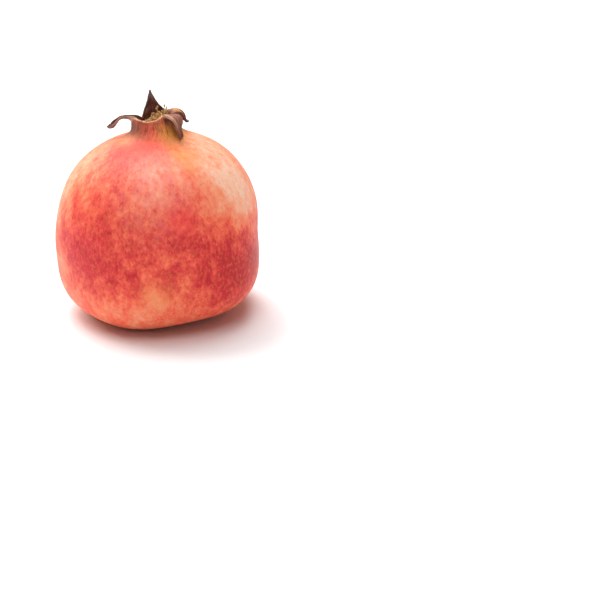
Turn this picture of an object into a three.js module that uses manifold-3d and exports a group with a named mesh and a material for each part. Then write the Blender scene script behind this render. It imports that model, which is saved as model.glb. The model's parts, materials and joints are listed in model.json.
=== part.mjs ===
import * as THREE from 'three';
import { mergeVertices } from 'three/addons/utils/BufferGeometryUtils.js';
import Module from 'manifold-3d';

// A whole pomegranate, in millimetres, +Z up. It stands on the flat spot under it, and the middle of
// its bounding box is over the origin. The fruit is one grown solid: the body, the neck on top of it,
// the cup in the neck and the dried sepals round the cup's rim. A second solid is the tuft of dried
// stamens in the cup. Compass directions are in degrees, from +X towards +Y.

// Body: a round form that is a superellipse from pole to pole, squarer below its widest ring
const BODY_RADIUS = 46;
const UPPER_HEIGHT = 49;
const LOWER_HEIGHT = 33.5;
const UPPER_SQUARENESS = 2.2;
const LOWER_SQUARENESS = 3.3;
const BODY_LEAN = 4;
const FLAT_DEPTH = 0.2;
const FLAT_SOFTNESS = 1;

// Soft ribs down the body, as many as sepals
const RIB_COUNT = 5;
const RIB_HEIGHT = 0.5;
const RIB_AZIMUTH = -35;

// Bulges and flats of the body: compass direction, height over the widest ring and spread, all in
// degrees, and how far the skin stands out or in
const BULGES = [
  { azimuth: 0, elevation: 50, spread: 20, height: 1.7 },
  { azimuth: 0, elevation: 24, spread: 18, height: 1.1 },
  { azimuth: 0, elevation: -4, spread: 18, height: -1.8 },
  { azimuth: 0, elevation: -48, spread: 18, height: -0.3 },
  { azimuth: 180, elevation: 22, spread: 18, height: -1.0 },
  { azimuth: 180, elevation: -22, spread: 18, height: 0.5 },
  { azimuth: -118, elevation: -58, spread: 20, height: 1.6 },
  { azimuth: -60, elevation: -54, spread: 20, height: -1.1 },
  { azimuth: 80, elevation: 28, spread: 24, height: -0.7 },
  { azimuth: 120, elevation: -18, spread: 22, height: 0.8 },
  { azimuth: 45, elevation: -35, spread: 20, height: -0.5 },
];

// Scar of the stalk under the fruit: a stub in a shallow dimple, clear of what the fruit stands on
const STUB_RADIUS = 2.2;
const STUB_RISE = 1.2;
const DIMPLE_RISE = 2.1;
const DIMPLE_FLOOR_RADIUS = 3.4;
const DIMPLE_RADIUS = 8.5;

// Crown: the neck, its rim, and the cup in it. Its frame has its origin at the middle of the rim
const CROWN_X = -1.1;
const CROWN_Y = 0;
const CROWN_RISE = 6.7;
const CROWN_LEAN = 1.5;
const RIM_RADIUS = 9.1;
const RIM_WALL = 1.35;
const NECK_FOOT = -3.6;
const NECK_FURROW = 0.25;
const NECK_FURROW_SHARPNESS = 3;
const NECK_FLARE = 2.2;
const NECK_FLARE_AZIMUTH = -20;
const NECK_FLARE_POWER = 1.5;
const CUP_RADIUS = 7.5;
const CUP_DEPTH = 7.8;

// Shoulder: the curve from the body up to the neck's foot, and how far it keeps the slope of each, as
// a share of its span
const SHOULDER_RADIUS = 20;
const BODY_SLOPE_REACH = 0.5;
const NECK_SLOPE_REACH = 0.3;

// Height of the rim round the neck, by compass direction: it is torn low in front, where one sepal is
// broken off, and low again between the back sepal and the left one
const RIM_HEIGHTS = [
  [-140, 0.9], [-118, 0.5], [-100, 0.2], [-78, 0.5], [-64, 1.1], [-55, 1.9], [-40, 1.2],
  [-26, 0.7], [2, 0.1], [30, 0.2], [57, -0.1], [93, -0.3], [112, -0.8], [130, -1.5], [150, -1.9],
  [175, -1.7], [205, -0.4], [220, 0.9],
];

// Sepals. Each one takes a sector of the rim. Heading is the angle that the middle line makes with
// straight up as it runs out, drift its way to the side, halfWidth and curl the size and the bend
// of the cross-section, all from root to tip at even steps.
const SEPALS = [
  {
    name: 'front stub', from: -140, to: -55, length: 0,
  },
  {
    name: 'right front, folded down', from: -55, to: 2, length: 11.8,
    heading: [82, 92, 118, 162, 174, 166, 160, 160],
    halfWidth: [4.4, 4.5, 4.3, 3.5, 2.8, 2.3, 2.1, 1.9],
    curl: [28, 18, 14, 18, 26, 30, 30, 30],
    drift: [0, -0.2, -0.7, -1.4, -1.8, -2.0, -2.1, -2.3],
    twist: [0, 0, 2, 0, -4, -8, -10, -10], wave: 0.3,
  },
  {
    name: 'right back, curled over', from: 2, to: 57, length: 10.3,
    heading: [46, 76, 108, 134, 152, 164, 124, 50],
    halfWidth: [4.3, 4.1, 3.6, 3.1, 2.6, 2.1, 1.6, 0.9],
    curl: [27, 8, -14, -26, -34, -40, -34, -20],
    drift: [0, -0.2, -0.5, -0.8, -1.0, -1.2, -1.2, -1.2],
    twist: [0, 3, 7, 9, 8, 6, 4, 2], wave: 0.7,
  },
  {
    name: 'back, upright', from: 57, to: 130, length: 10.5,
    heading: [8, 2, -3, -5, -3, 2, 6, 8],
    halfWidth: [5.9, 5.5, 4.7, 3.5, 2.45, 1.65, 0.9, 0.3],
    curl: [36, 38, 42, 46, 44, 38, 26, 12],
    drift: [0, -0.4, -0.35, -0.1, 0.1, 0.4, 0.6, 0.7],
    twist: [0, 0, -3, -6, -9, -12, -14, -16], wave: 0.22,
  },
  {
    name: 'left, bent out', from: 130, to: 220, length: 12.8,
    heading: [48, 74, 90, 122, 138, 130, 100, 40],
    halfWidth: [7, 3.9, 2.7, 2.4, 2.4, 2.4, 2.2, 1.2],
    curl: [45, 42, 46, 50, 52, 50, 44, 30],
    drift: [0, -0.2, -0.3, -0.2, 0, 0.1, 0.1, -0.2],
    twist: [0, -8, -16, -22, -26, -26, -24, -20], wave: 0.25,
  },
];
const SEPAL_TIP_WALL = 0.65;
const ROOT_BLEND_POWER = 3;

// Waves of a sepal's face: two crossing sines, by the radians that each one runs through from root to
// tip and from the middle to an edge. They are low where the sepal is narrow, and start past its root
const WAVE_ALONG = [7, 5];
const WAVE_ACROSS = [2.4, 4.1];
const WAVE_PER_WIDTH = 0.045;
const WAVE_START = 0.35;

// Fineness of the fruit's faces
const CELLS_PER_SEPAL = 10;
const SEPAL_ROWS = 10;
const SEPAL_PATH_STEPS = 60;
const SCAR_RINGS = [1.4, 2.2, 3.4, 4.8, 6.6, 8.5, 12, 16, 20];
const BODY_ROWS = 18;
const SHOULDER_ROWS = 6;
const NECK_ROWS = 3;
const CUP_ROWS = [
  [0.25, 1], [0.55, 1], [0.8, 0.97], [0.95, 0.84], [1, 0.5],
];

// Stamens: a matted pad in the cup, by its radius as a share of the widest and its height over its
// foot, and loose filaments standing out of it, tallest towards one compass direction
const PAD_GAP = 0.35;
const PAD_OUTLINE = [
  [0, 0], [0.5, 0], [0.8, 0.35], [0.97, 1.7], [1, 3], [0.9, 3.8], [0.55, 4.3], [0, 4.5],
];
const PAD_TOP = -3.2;
const PAD_SIDES = 20;
const FILAMENT_COUNT = 28;
const FILAMENT_TURN = 137.5;
const FILAMENT_RADIUS = 0.34;
const FILAMENT_SIDES = 4;
const FILAMENT_STEPS = 4;
const FILAMENT_ROOT = 1.6;
const FILAMENT_INSET = 0.4;
const FILAMENT_HEIGHTS = [4.8, 7.8];
const FILAMENT_SWAYS = [0.8, 2];
const FILAMENT_BENDS = [0.6, 2.2];
const EDGE_HEIGHT_SHARE = 0.75;
const BEND_HEIGHT_SHARE = 0.55;
const TALL_AZIMUTH = 15;
const LOW_SIDE_SHARE = 0.2;
const ANTHER_RADIUS = 0.55;
const ANTHER_LENGTH = 1.7;
const ANTHER_GAP = 0.65;
const TANGLE_SEED = 11;

// One tall stamen between the back sepals, and the stouter style in the middle, by points over the
// pad's top
const TALL_STAMEN = [[3.9, 3.7, -1.6], [4.6, 4.2, 3.5], [5.1, 4.5, 6.8]];
const STYLE_RADIUS = 0.6;
const STYLE = [[0, 0, -1.6], [0.3, -0.2, 2.4], [1.0, -0.3, 4.6]];

const radians = THREE.MathUtils.degToRad;
const fade = THREE.MathUtils.smoothstep;
const mix = THREE.MathUtils.lerp;
const UP = new THREE.Vector3(0, 0, 1);

/** Value of an evenly spaced list at t from 0 to 1, on a smooth curve through its entries. */
function along(list, t) {
  const place = Math.min(t, 1) * (list.length - 1);
  const i = Math.min(Math.floor(place), list.length - 2);
  const at = (k) => list[THREE.MathUtils.clamp(k, 0, list.length - 1)];
  const slopeHere = (at(i + 1) - at(i - 1)) / 2;
  const slopeNext = (at(i + 2) - at(i)) / 2;
  const s = place - i;
  const cubic = 2 * (at(i) - at(i + 1)) + slopeHere + slopeNext;
  const square = 3 * (at(i + 1) - at(i)) - 2 * slopeHere - slopeNext;
  return ((cubic * s + square) * s + slopeHere) * s + at(i);
}

/** Compass direction within the one turn that starts where the first sepal's sector does. */
function withinTurn(azimuth) {
  const start = SEPALS[0].from;
  return THREE.MathUtils.euclideanModulo(azimuth - start, 360) + start;
}

/** Height of the rim over the crown's origin in a compass direction. */
function rimHeight(azimuth) {
  const turn = withinTurn(azimuth);
  const next = RIM_HEIGHTS.findIndex(([place]) => place > turn);
  const [start, low] = RIM_HEIGHTS[next - 1];
  const [end, high] = RIM_HEIGHTS[next];
  return mix(low, high, fade(turn, start, end));
}

/** Radius of the neck and its rim, which has a furrow below each gap between two sepals. */
function rimRadius(azimuth) {
  const turn = withinTurn(azimuth);
  const sepal = SEPALS.find(({ to }) => turn <= to);
  const across = (turn - sepal.from) / (sepal.to - sepal.from);
  return RIM_RADIUS - NECK_FURROW * Math.cos(2 * Math.PI * across) ** NECK_FURROW_SHARPNESS;
}

/** Radius of the neck at a height over the rim's middle: it widens downwards, more on one side. */
function neckRadius(azimuth, height) {
  const side = (1 + Math.cos(radians(azimuth - NECK_FLARE_AZIMUTH))) / 2;
  const down = Math.max(0, (rimHeight(azimuth) - height) / (rimHeight(azimuth) - NECK_FOOT));
  return rimRadius(azimuth) + NECK_FLARE * side * down ** NECK_FLARE_POWER;
}

/** Compass directions of the fruit's columns of vertices. */
function columnAzimuths() {
  return SEPALS.flatMap(({ from, to }) =>
    Array.from({ length: CELLS_PER_SEPAL }, (_, i) => mix(from, to, i / CELLS_PER_SEPAL)));
}

/** Unit vector in a compass direction and elevation, in degrees. */
function direction(azimuth, elevation) {
  const flat = Math.cos(radians(elevation));
  return new THREE.Vector3(flat * Math.cos(radians(azimuth)), flat * Math.sin(radians(azimuth)),
    Math.sin(radians(elevation)));
}

/** Distance of the skin from the middle of the widest ring, before lean and flat spot. */
function skinDistance(azimuth, elevation) {
  const upper = elevation > 0;
  const power = upper ? UPPER_SQUARENESS : LOWER_SQUARENESS;
  const height = upper ? UPPER_HEIGHT : LOWER_HEIGHT;
  const flat = Math.cos(radians(elevation));
  const rise = Math.abs(Math.sin(radians(elevation)));
  const round = ((flat / BODY_RADIUS) ** power + (rise / height) ** power) ** (-1 / power);
  const rib = RIB_HEIGHT * flat ** 2 * Math.cos(RIB_COUNT * radians(azimuth - RIB_AZIMUTH));
  const ray = direction(azimuth, elevation);
  return BULGES.reduce((sum, bulge) => {
    const angle = THREE.MathUtils.radToDeg(ray.angleTo(direction(bulge.azimuth, bulge.elevation)));
    return sum + bulge.height * Math.exp(-((angle / bulge.spread) ** 2));
  }, round + rib);
}

/** Rise of the scar's dimple and stub over the flat spot, by distance from the scar's middle. */
function scarRise(radius) {
  if (radius <= STUB_RADIUS) return STUB_RISE;
  if (radius < DIMPLE_FLOOR_RADIUS) {
    return mix(STUB_RISE, DIMPLE_RISE, fade(radius, STUB_RADIUS, DIMPLE_FLOOR_RADIUS));
  }
  return DIMPLE_RISE * (1 - fade(radius, DIMPLE_FLOOR_RADIUS, DIMPLE_RADIUS));
}

/** Point of the body's skin. The lean grows from nothing at the foot to all of it at the waist. */
function bodyPoint(azimuth, elevation) {
  const point = direction(azimuth, elevation).multiplyScalar(skinDistance(azimuth, elevation));
  const scar = scarRise(Math.hypot(point.x, point.y));
  const lean = -BODY_LEAN * fade(elevation, -90, 0);
  point.applyAxisAngle(new THREE.Vector3(0, 1, 0), radians(lean));
  const over = point.z + LOWER_HEIGHT - FLAT_DEPTH;
  if (over < FLAT_SOFTNESS) {
    point.z = over < 0 ? 0 : over ** 2 / (2 * FLAT_SOFTNESS);
  } else {
    point.z = over - FLAT_SOFTNESS / 2;
  }
  if (elevation < 0) point.z += scar;
  return point;
}

/** Elevation at which the skin has a given radius, above or below the widest ring. */
function elevationAt(radius, upper) {
  const power = upper ? UPPER_SQUARENESS : LOWER_SQUARENESS;
  const height = upper ? UPPER_HEIGHT : LOWER_HEIGHT;
  const rise = height * (1 - (radius / BODY_RADIUS) ** power) ** (1 / power);
  const elevation = THREE.MathUtils.radToDeg(Math.atan2(rise, radius));
  return upper ? elevation : -elevation;
}

/** The crown's frame as a matrix: leant over, with its origin at the middle of the rim. */
function crownFrame() {
  const frame = new THREE.Matrix4().makeRotationY(radians(-CROWN_LEAN));
  return frame.setPosition(CROWN_X, CROWN_Y, bodyPoint(0, 90).z + CROWN_RISE);
}

const crown = crownFrame();

/** Point of the crown from its compass direction, radius and height over the rim's middle. */
function crownPoint(azimuth, radius, height) {
  const spoke = direction(azimuth, 0).multiplyScalar(radius);
  return spoke.setZ(height).applyMatrix4(crown);
}

/** Curve from the body's shoulder up into the neck, in one compass direction. */
function shoulderCurve(azimuth) {
  const shoulder = elevationAt(SHOULDER_RADIUS, true);
  const start = bodyPoint(azimuth, shoulder);
  const slope = bodyPoint(azimuth, shoulder + 1).sub(start).normalize();
  const end = crownPoint(azimuth, neckRadius(azimuth, NECK_FOOT), NECK_FOOT);
  const under = crownPoint(azimuth, neckRadius(azimuth, NECK_FOOT - 1), NECK_FOOT - 1);
  const down = under.sub(end).normalize();
  const span = start.distanceTo(end);
  return new THREE.CubicBezierCurve3(start,
    start.clone().addScaledVector(slope, span * BODY_SLOPE_REACH),
    end.clone().addScaledVector(down, span * NECK_SLOPE_REACH), end);
}

/** Frame of a sepal's cross-section at t: its middle, its way across, and its way out of the cup. */
function sepalSection(sepal, t) {
  const sector = (sepal.from + sepal.to) / 2;
  const out = direction(sector, 0);
  const side = new THREE.Vector3().crossVectors(UP, out);
  const middle = out.clone().multiplyScalar(RIM_RADIUS).setZ(rimHeight(sector));
  const step = 1 / SEPAL_PATH_STEPS;
  for (let k = 0; (k + 1) * step <= t + step / 2; k += 1) {
    const heading = radians(along(sepal.heading, (k + 0.5) * step));
    middle.addScaledVector(out, sepal.length * step * Math.sin(heading));
    middle.addScaledVector(UP, sepal.length * step * Math.cos(heading));
  }
  middle.addScaledVector(side, along(sepal.drift, t));
  const heading = radians(along(sepal.heading, t));
  const run = out.clone().multiplyScalar(Math.sin(heading)).addScaledVector(UP, Math.cos(heading));
  const outward = out.multiplyScalar(Math.cos(heading)).addScaledVector(UP, -Math.sin(heading));
  const twist = radians(along(sepal.twist, t));
  side.applyAxisAngle(run, twist);
  outward.applyAxisAngle(run, twist);
  return { middle, across: side, outward };
}

/** One row of a sepal, from edge to edge: points of the outer face, and the way through the wall. */
function sepalRow(sepal, t) {
  const { middle, across, outward } = sepalSection(sepal, t);
  const halfWidth = along(sepal.halfWidth, t);
  const curl = radians(along(sepal.curl, t));
  const waveHeight = Math.min(sepal.wave, WAVE_PER_WIDTH * halfWidth ** 2) * fade(t, 0, WAVE_START);
  return Array.from({ length: CELLS_PER_SEPAL + 1 }, (_, i) => {
    const u = 2 * i / CELLS_PER_SEPAL - 1;
    const wave = waveHeight * Math.sin(WAVE_ALONG[0] * t + WAVE_ACROSS[0] * u + sepal.from)
      * Math.sin(WAVE_ALONG[1] * t + WAVE_ACROSS[1] * u);
    const rise = wave - halfWidth * (1 - Math.cos(curl * u)) / curl;
    const point = middle.clone().addScaledVector(across, halfWidth * Math.sin(curl * u) / curl);
    point.addScaledVector(outward, rise);
    const through = across.clone().multiplyScalar(Math.sin(curl * u));
    return { point, through: through.addScaledVector(outward, Math.cos(curl * u)) };
  });
}

/** Outer and inner face of a sepal as rows of points from the rim to the tip, in the crown's frame. */
function sepalFaces(sepal) {
  const rows = Array.from({ length: SEPAL_ROWS + 1 }, (_, row) => sepalRow(sepal, row / SEPAL_ROWS));
  const offRim = rows[0].map(({ point }, i) => {
    const azimuth = mix(sepal.from, sepal.to, i / CELLS_PER_SEPAL);
    const onRim = direction(azimuth, 0).multiplyScalar(rimRadius(azimuth)).setZ(rimHeight(azimuth));
    return onRim.sub(point);
  });
  rows.forEach((row, k) => row.forEach(({ point }, i) =>
    point.addScaledVector(offRim[i], (1 - k / SEPAL_ROWS) ** ROOT_BLEND_POWER)));
  return {
    outer: rows.map((row) => row.map(({ point }) => point)),
    inner: rows.map((row, k) => row.map(({ point, through }) =>
      point.clone().addScaledVector(through, -mix(RIM_WALL, SEPAL_TIP_WALL, k / SEPAL_ROWS)))),
  };
}

/** Collects points and faces of one closed surface. */
class Surface {
  constructor() {
    this.points = [];
    this.faces = [];
  }

  add(point) {
    this.points.push(point.x, point.y, point.z);
    return this.points.length / 3 - 1;
  }

  row(points) {
    return points.map((point) => this.add(point));
  }

  /** Faces between two rows of vertices; the front is on the right hand going from low to high. */
  join(low, high, closed = true) {
    const count = closed ? low.length : low.length - 1;
    for (let i = 0; i < count; i += 1) {
      const j = (i + 1) % low.length;
      this.faces.push(low[i], low[j], high[j], low[i], high[j], high[i]);
    }
  }

  /** The same faces seen from the other side, split along the same diagonals. */
  joinReversed(low, high, closed = true) {
    const count = closed ? low.length : low.length - 1;
    for (let i = 0; i < count; i += 1) {
      const j = (i + 1) % low.length;
      this.faces.push(low[i], high[j], low[j], low[i], high[i], high[j]);
    }
  }

  fan(pole, ring) {
    ring.forEach((vertex, i) => this.faces.push(pole, vertex, ring[(i + 1) % ring.length]));
  }

  geometry() {
    const geometry = new THREE.BufferGeometry();
    geometry.setAttribute('position', new THREE.Float32BufferAttribute(this.points, 3));
    geometry.setIndex(this.faces);
    return geometry;
  }
}

/** Body, shoulder and neck up to the rim. Gives back the rim's vertices. */
function addBody(surface, azimuths) {
  const bottom = surface.add(bodyPoint(0, -90));
  const scarRings = SCAR_RINGS.map((radius) => elevationAt(radius, false));
  const first = scarRings[scarRings.length - 1];
  const last = elevationAt(SHOULDER_RADIUS, true);
  const bodyRings = Array.from({ length: BODY_ROWS }, (_, i) => mix(first, last, (i + 1) / BODY_ROWS));
  let below = null;
  [...scarRings, ...bodyRings].forEach((elevation) => {
    const ring = surface.row(azimuths.map((azimuth) => bodyPoint(azimuth, elevation)));
    if (below) surface.join(below, ring);
    else surface.fan(bottom, ring.slice().reverse());
    below = ring;
  });
  const curves = azimuths.map(shoulderCurve);
  for (let row = 1; row <= SHOULDER_ROWS; row += 1) {
    const ring = surface.row(curves.map((curve) => curve.getPoint(row / SHOULDER_ROWS)));
    surface.join(below, ring);
    below = ring;
  }
  for (let row = 1; row <= NECK_ROWS; row += 1) {
    const ring = surface.row(azimuths.map((azimuth) => {
      const height = mix(NECK_FOOT, rimHeight(azimuth), row / NECK_ROWS);
      return crownPoint(azimuth, neckRadius(azimuth, height), height);
    }));
    surface.join(below, ring);
    below = ring;
  }
  return below;
}

/** Cup inside the neck, from the rim's inner edge down to its floor. */
function addCup(surface, azimuths, innerRim) {
  let above = innerRim;
  CUP_ROWS.forEach(([depth, width]) => {
    const ring = surface.row(azimuths.map((azimuth) =>
      crownPoint(azimuth, CUP_RADIUS * width, mix(rimHeight(azimuth), -CUP_DEPTH, depth))));
    surface.joinReversed(ring, above);
    above = ring;
  });
  surface.fan(surface.add(crownPoint(0, 0, -CUP_DEPTH)), above);
}

/** One sepal between the rim's outer and inner vertices, or the torn edge where it is broken off. */
function addSepal(surface, sepal, outerRim, innerRim) {
  if (sepal.length === 0) {
    surface.join(outerRim, innerRim, false);
    return;
  }
  const place = (points) => surface.row(points.map((point) => point.clone().applyMatrix4(crown)));
  const faces = sepalFaces(sepal);
  const outer = [outerRim, ...faces.outer.slice(1).map(place)];
  const inner = [innerRim, ...faces.inner.slice(1).map(place)];
  for (let row = 0; row < SEPAL_ROWS; row += 1) {
    surface.join(outer[row], outer[row + 1], false);
    surface.joinReversed(inner[row], inner[row + 1], false);
  }
  const edge = (list, i) => list.map((vertices) => vertices[i]);
  surface.join(edge(outer, 0), edge(inner, 0), false);
  surface.joinReversed(edge(outer, CELLS_PER_SEPAL), edge(inner, CELLS_PER_SEPAL), false);
  surface.join(outer[SEPAL_ROWS], inner[SEPAL_ROWS], false);
}

/** The whole fruit as one closed surface. */
function fruitGeometry() {
  const surface = new Surface();
  const azimuths = columnAzimuths();
  const outerRim = addBody(surface, azimuths);
  const innerRim = surface.row(azimuths.map((azimuth) =>
    crownPoint(azimuth, rimRadius(azimuth) - RIM_WALL, rimHeight(azimuth))));
  SEPALS.forEach((sepal, k) => {
    const span = Array.from({ length: CELLS_PER_SEPAL + 1 },
      (_, i) => (k * CELLS_PER_SEPAL + i) % azimuths.length);
    addSepal(surface, sepal, span.map((i) => outerRim[i]), span.map((i) => innerRim[i]));
  });
  addCup(surface, azimuths, innerRim);
  return surface.geometry();
}

/** Numbers from 0 to 1 that look drawn by lot and are the same each time. */
function drawer(seed) {
  let state = seed;
  return () => {
    state = (state * 16807) % 2147483647;
    return state / 2147483647;
  };
}

/** Matted pad of dried filaments at the foot of the cup, with a domed top. */
function padGeometry() {
  const profile = PAD_OUTLINE.map(([share, height]) =>
    new THREE.Vector2((CUP_RADIUS - PAD_GAP) * share, PAD_GAP - CUP_DEPTH + height));
  return new THREE.LatheGeometry(profile, PAD_SIDES).rotateX(Math.PI / 2);
}

/** Stalk of a stamen or of the style, along a curve. */
function stalkGeometry(curve, radius) {
  const circle = new THREE.EllipseCurve(0, 0, radius, radius);
  const section = new THREE.Shape(circle.getPoints(FILAMENT_SIDES).slice(0, FILAMENT_SIDES));
  return new THREE.ExtrudeGeometry(section,
    { extrudePath: curve, steps: FILAMENT_STEPS, bevelEnabled: false });
}

/** One stamen: a filament that rises and bends over, and the anther on its end. */
function stamenPieces(points) {
  const curve = new THREE.CatmullRomCurve3(points);
  const anther = new THREE.SphereGeometry(1, 6, 4);
  anther.scale(ANTHER_RADIUS, ANTHER_RADIUS, ANTHER_LENGTH / 2);
  const turn = new THREE.Quaternion().setFromUnitVectors(UP, curve.getTangent(1));
  const tip = points[points.length - 1];
  anther.applyQuaternion(turn).translate(tip.x, tip.y, tip.z);
  return [stalkGeometry(curve, FILAMENT_RADIUS), anther];
}

/** Point given over the middle of the pad's top. */
function overPad([x, y, height]) {
  return new THREE.Vector3(x, y, PAD_TOP + height);
}

/** Stamens spread evenly over the pad, the tall one, and the style. */
function tuftPieces() {
  const draw = drawer(TANGLE_SEED);
  const reach = CUP_RADIUS - ANTHER_RADIUS - ANTHER_GAP;
  const pieces = [];
  for (let k = 0; k < FILAMENT_COUNT; k += 1) {
    const azimuth = k * FILAMENT_TURN;
    const radius = (reach - FILAMENT_INSET) * Math.sqrt((k + 0.5) / FILAMENT_COUNT);
    const side = (1 + Math.cos(radians(azimuth - TALL_AZIMUTH)) * radius / reach) / 2;
    const share = mix(1, EDGE_HEIGHT_SHARE, radius / reach) * mix(LOW_SIDE_SHARE, 1, side);
    const height = mix(...FILAMENT_HEIGHTS, draw()) * share;
    const foot = direction(azimuth, 0).multiplyScalar(radius).setZ(PAD_TOP - FILAMENT_ROOT);
    const sway = direction(360 * draw(), 0).multiplyScalar(mix(...FILAMENT_SWAYS, draw()));
    const bend = direction(azimuth + 180 * draw(), 0).multiplyScalar(mix(...FILAMENT_BENDS, draw()));
    const middle = foot.clone().addScaledVector(sway, 0.5).setZ(PAD_TOP + height * BEND_HEIGHT_SHARE);
    const tip = foot.clone().add(sway).add(bend).setZ(PAD_TOP + height);
    [middle, tip].forEach((point) => {
      const away = Math.max(1, Math.hypot(point.x, point.y) / reach);
      point.set(point.x / away, point.y / away, point.z);
    });
    pieces.push(...stamenPieces([foot, middle, tip]));
  }
  pieces.push(...stamenPieces(TALL_STAMEN.map(overPad)));
  pieces.push(stalkGeometry(new THREE.CatmullRomCurve3(STYLE.map(overPad)), STYLE_RADIUS));
  return pieces;
}

const wasm = await Module();
wasm.setup();

/** Closed geometry as a solid that can be joined to others. */
function solid(geometry) {
  const bare = geometry.clone();
  bare.deleteAttribute('normal');
  bare.deleteAttribute('uv');
  const merged = mergeVertices(bare, 1e-4);
  return new wasm.Manifold(new wasm.Mesh({
    numProp: 3,
    vertProperties: Float32Array.from(merged.attributes.position.array),
    triVerts: Uint32Array.from(merged.index.array),
  }));
}

/** Pad, stamens and style joined in one closed solid, placed in the cup. */
function stamensGeometry() {
  const joined = tuftPieces().reduce((sum, piece) => sum.add(solid(piece)), solid(padGeometry()));
  const mesh = joined.getMesh();
  const geometry = new THREE.BufferGeometry();
  geometry.setAttribute('position', new THREE.Float32BufferAttribute(mesh.vertProperties, 3));
  geometry.setIndex(new THREE.Uint32BufferAttribute(mesh.triVerts, 1));
  return geometry.applyMatrix4(crown);
}

const rind = new THREE.MeshStandardMaterial({ color: 0xd9574a, roughness: 0.45, metalness: 0 });
const driedStamens = new THREE.MeshStandardMaterial({ color: 0xb98a45, roughness: 0.8, metalness: 0 });

const fruit = new THREE.Mesh(fruitGeometry(), rind);
fruit.name = 'fruit';
const stamens = new THREE.Mesh(stamensGeometry(), driedStamens);
stamens.name = 'stamens';

const pomegranate = new THREE.Group();
pomegranate.add(fruit, stamens);
const middle = new THREE.Box3().setFromObject(pomegranate).getCenter(new THREE.Vector3());
pomegranate.position.set(-middle.x, -middle.y, 0);

export default pomegranate;
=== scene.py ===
# %% [markdown]
# A whole pomegranate stands on a pale table. It is a leathery fruit with a short neck, and on the neck
# sit the dried sepals of its flower, round a tuft of dried stamens. The solid model of it is packed
# already, so this script gives it its looks: a finer skin, a real tuft, their finishes and the light.

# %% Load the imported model
import json
import math

import bpy
import numpy as np
from mathutils import Matrix, Vector, noise

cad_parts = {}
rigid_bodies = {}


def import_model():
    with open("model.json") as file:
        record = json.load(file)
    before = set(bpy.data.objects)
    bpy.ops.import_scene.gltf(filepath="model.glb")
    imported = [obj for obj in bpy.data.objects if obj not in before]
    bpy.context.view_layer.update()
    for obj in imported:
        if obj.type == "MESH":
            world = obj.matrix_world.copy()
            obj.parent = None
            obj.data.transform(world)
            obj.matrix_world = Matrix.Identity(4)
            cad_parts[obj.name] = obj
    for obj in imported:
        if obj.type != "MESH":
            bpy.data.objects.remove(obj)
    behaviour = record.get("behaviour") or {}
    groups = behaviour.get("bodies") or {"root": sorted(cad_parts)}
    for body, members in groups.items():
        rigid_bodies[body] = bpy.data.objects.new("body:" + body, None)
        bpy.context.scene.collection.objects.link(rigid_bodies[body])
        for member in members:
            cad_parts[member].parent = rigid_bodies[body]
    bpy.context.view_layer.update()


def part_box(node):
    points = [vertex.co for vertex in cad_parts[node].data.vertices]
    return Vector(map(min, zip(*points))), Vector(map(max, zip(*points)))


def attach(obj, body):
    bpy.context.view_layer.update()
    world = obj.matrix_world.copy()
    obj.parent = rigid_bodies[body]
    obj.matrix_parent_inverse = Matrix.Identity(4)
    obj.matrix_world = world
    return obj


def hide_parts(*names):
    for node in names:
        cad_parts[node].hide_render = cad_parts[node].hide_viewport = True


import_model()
MM = 0.001

# %% [markdown]
# The camera comes before the pieces, because every later choice is judged through it. It looks down on
# the fruit by 22 degrees from about 0.6 metres, and the fruit stands left of the middle of the picture.
# A Blender camera looks down its own -Z axis, so a level one is turned by 90 degrees.

# %% Set up the camera
CAMERA_PLACE = Vector((63.8, -561.0, 229.7)) * MM
CAMERA_PITCH = math.radians(22)
CAMERA_LENS = 79.4

camera = bpy.data.objects.new("camera", bpy.data.cameras.new("camera"))
camera.data.lens = CAMERA_LENS
camera.location = CAMERA_PLACE
camera.rotation_euler = (math.pi / 2 - CAMERA_PITCH, 0, 0)
bpy.context.scene.collection.objects.link(camera)
bpy.context.scene.camera = camera
print("camera at", [round(c, 3) for c in CAMERA_PLACE], "lens", CAMERA_LENS, "mm")

# %% [markdown]
# The fruit's form follows a rule. Its body is a superellipse from pole to pole, squarer below the widest
# ring, with five soft ribs, as many as it has sepals, and with a few bulges and flats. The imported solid
# follows the same rule with few faces. Here it is drawn again from the same measures, in millimetres, as
# a cage of quads fine enough for a Subdivision Surface modifier to round it off.

# %% Measures of the body
BODY_RADIUS = 46
UPPER_HEIGHT = 49
LOWER_HEIGHT = 33.5
UPPER_SQUARENESS = 2.2
LOWER_SQUARENESS = 3.3
BODY_LEAN = 4
FLAT_DEPTH = 0.2
FLAT_SOFTNESS = 1
RIB_COUNT = 5
RIB_HEIGHT = 0.5
RIB_AZIMUTH = -35
BULGES = [  # compass direction, elevation and spread in degrees, height in millimetres
    (0, 50, 20, 1.7), (0, 24, 18, 1.1), (0, -4, 18, -1.8), (0, -48, 18, -0.3), (180, 22, 18, -1.0),
    (180, -22, 18, 0.5), (-118, -58, 20, 1.6), (-60, -54, 20, -1.1), (80, 28, 24, -0.7),
    (120, -18, 22, 0.8), (45, -35, 20, -0.5),
]
STUB_RADIUS = 2.2
STUB_RISE = 1.2
DIMPLE_RISE = 2.1
DIMPLE_FLOOR_RADIUS = 3.4
DIMPLE_RADIUS = 8.5
print("body", 2 * BODY_RADIUS, "mm wide,", len(BULGES), "bulges and flats")

# %% Point of the body's skin in a compass direction and elevation


def fade(value, start, end):
    """Smooth step from 0 at start to 1 at end."""
    share = np.clip((value - start) / (end - start), 0, 1)
    return share * share * (3 - 2 * share)


def mix(low, high, share):
    return low + (high - low) * share


def direction(azimuth, elevation):
    azimuth, elevation = np.radians(azimuth), np.radians(elevation)
    flat = np.cos(elevation)
    axes = np.broadcast_arrays(flat * np.cos(azimuth), flat * np.sin(azimuth), np.sin(elevation))
    return np.stack(axes, -1)


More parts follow.
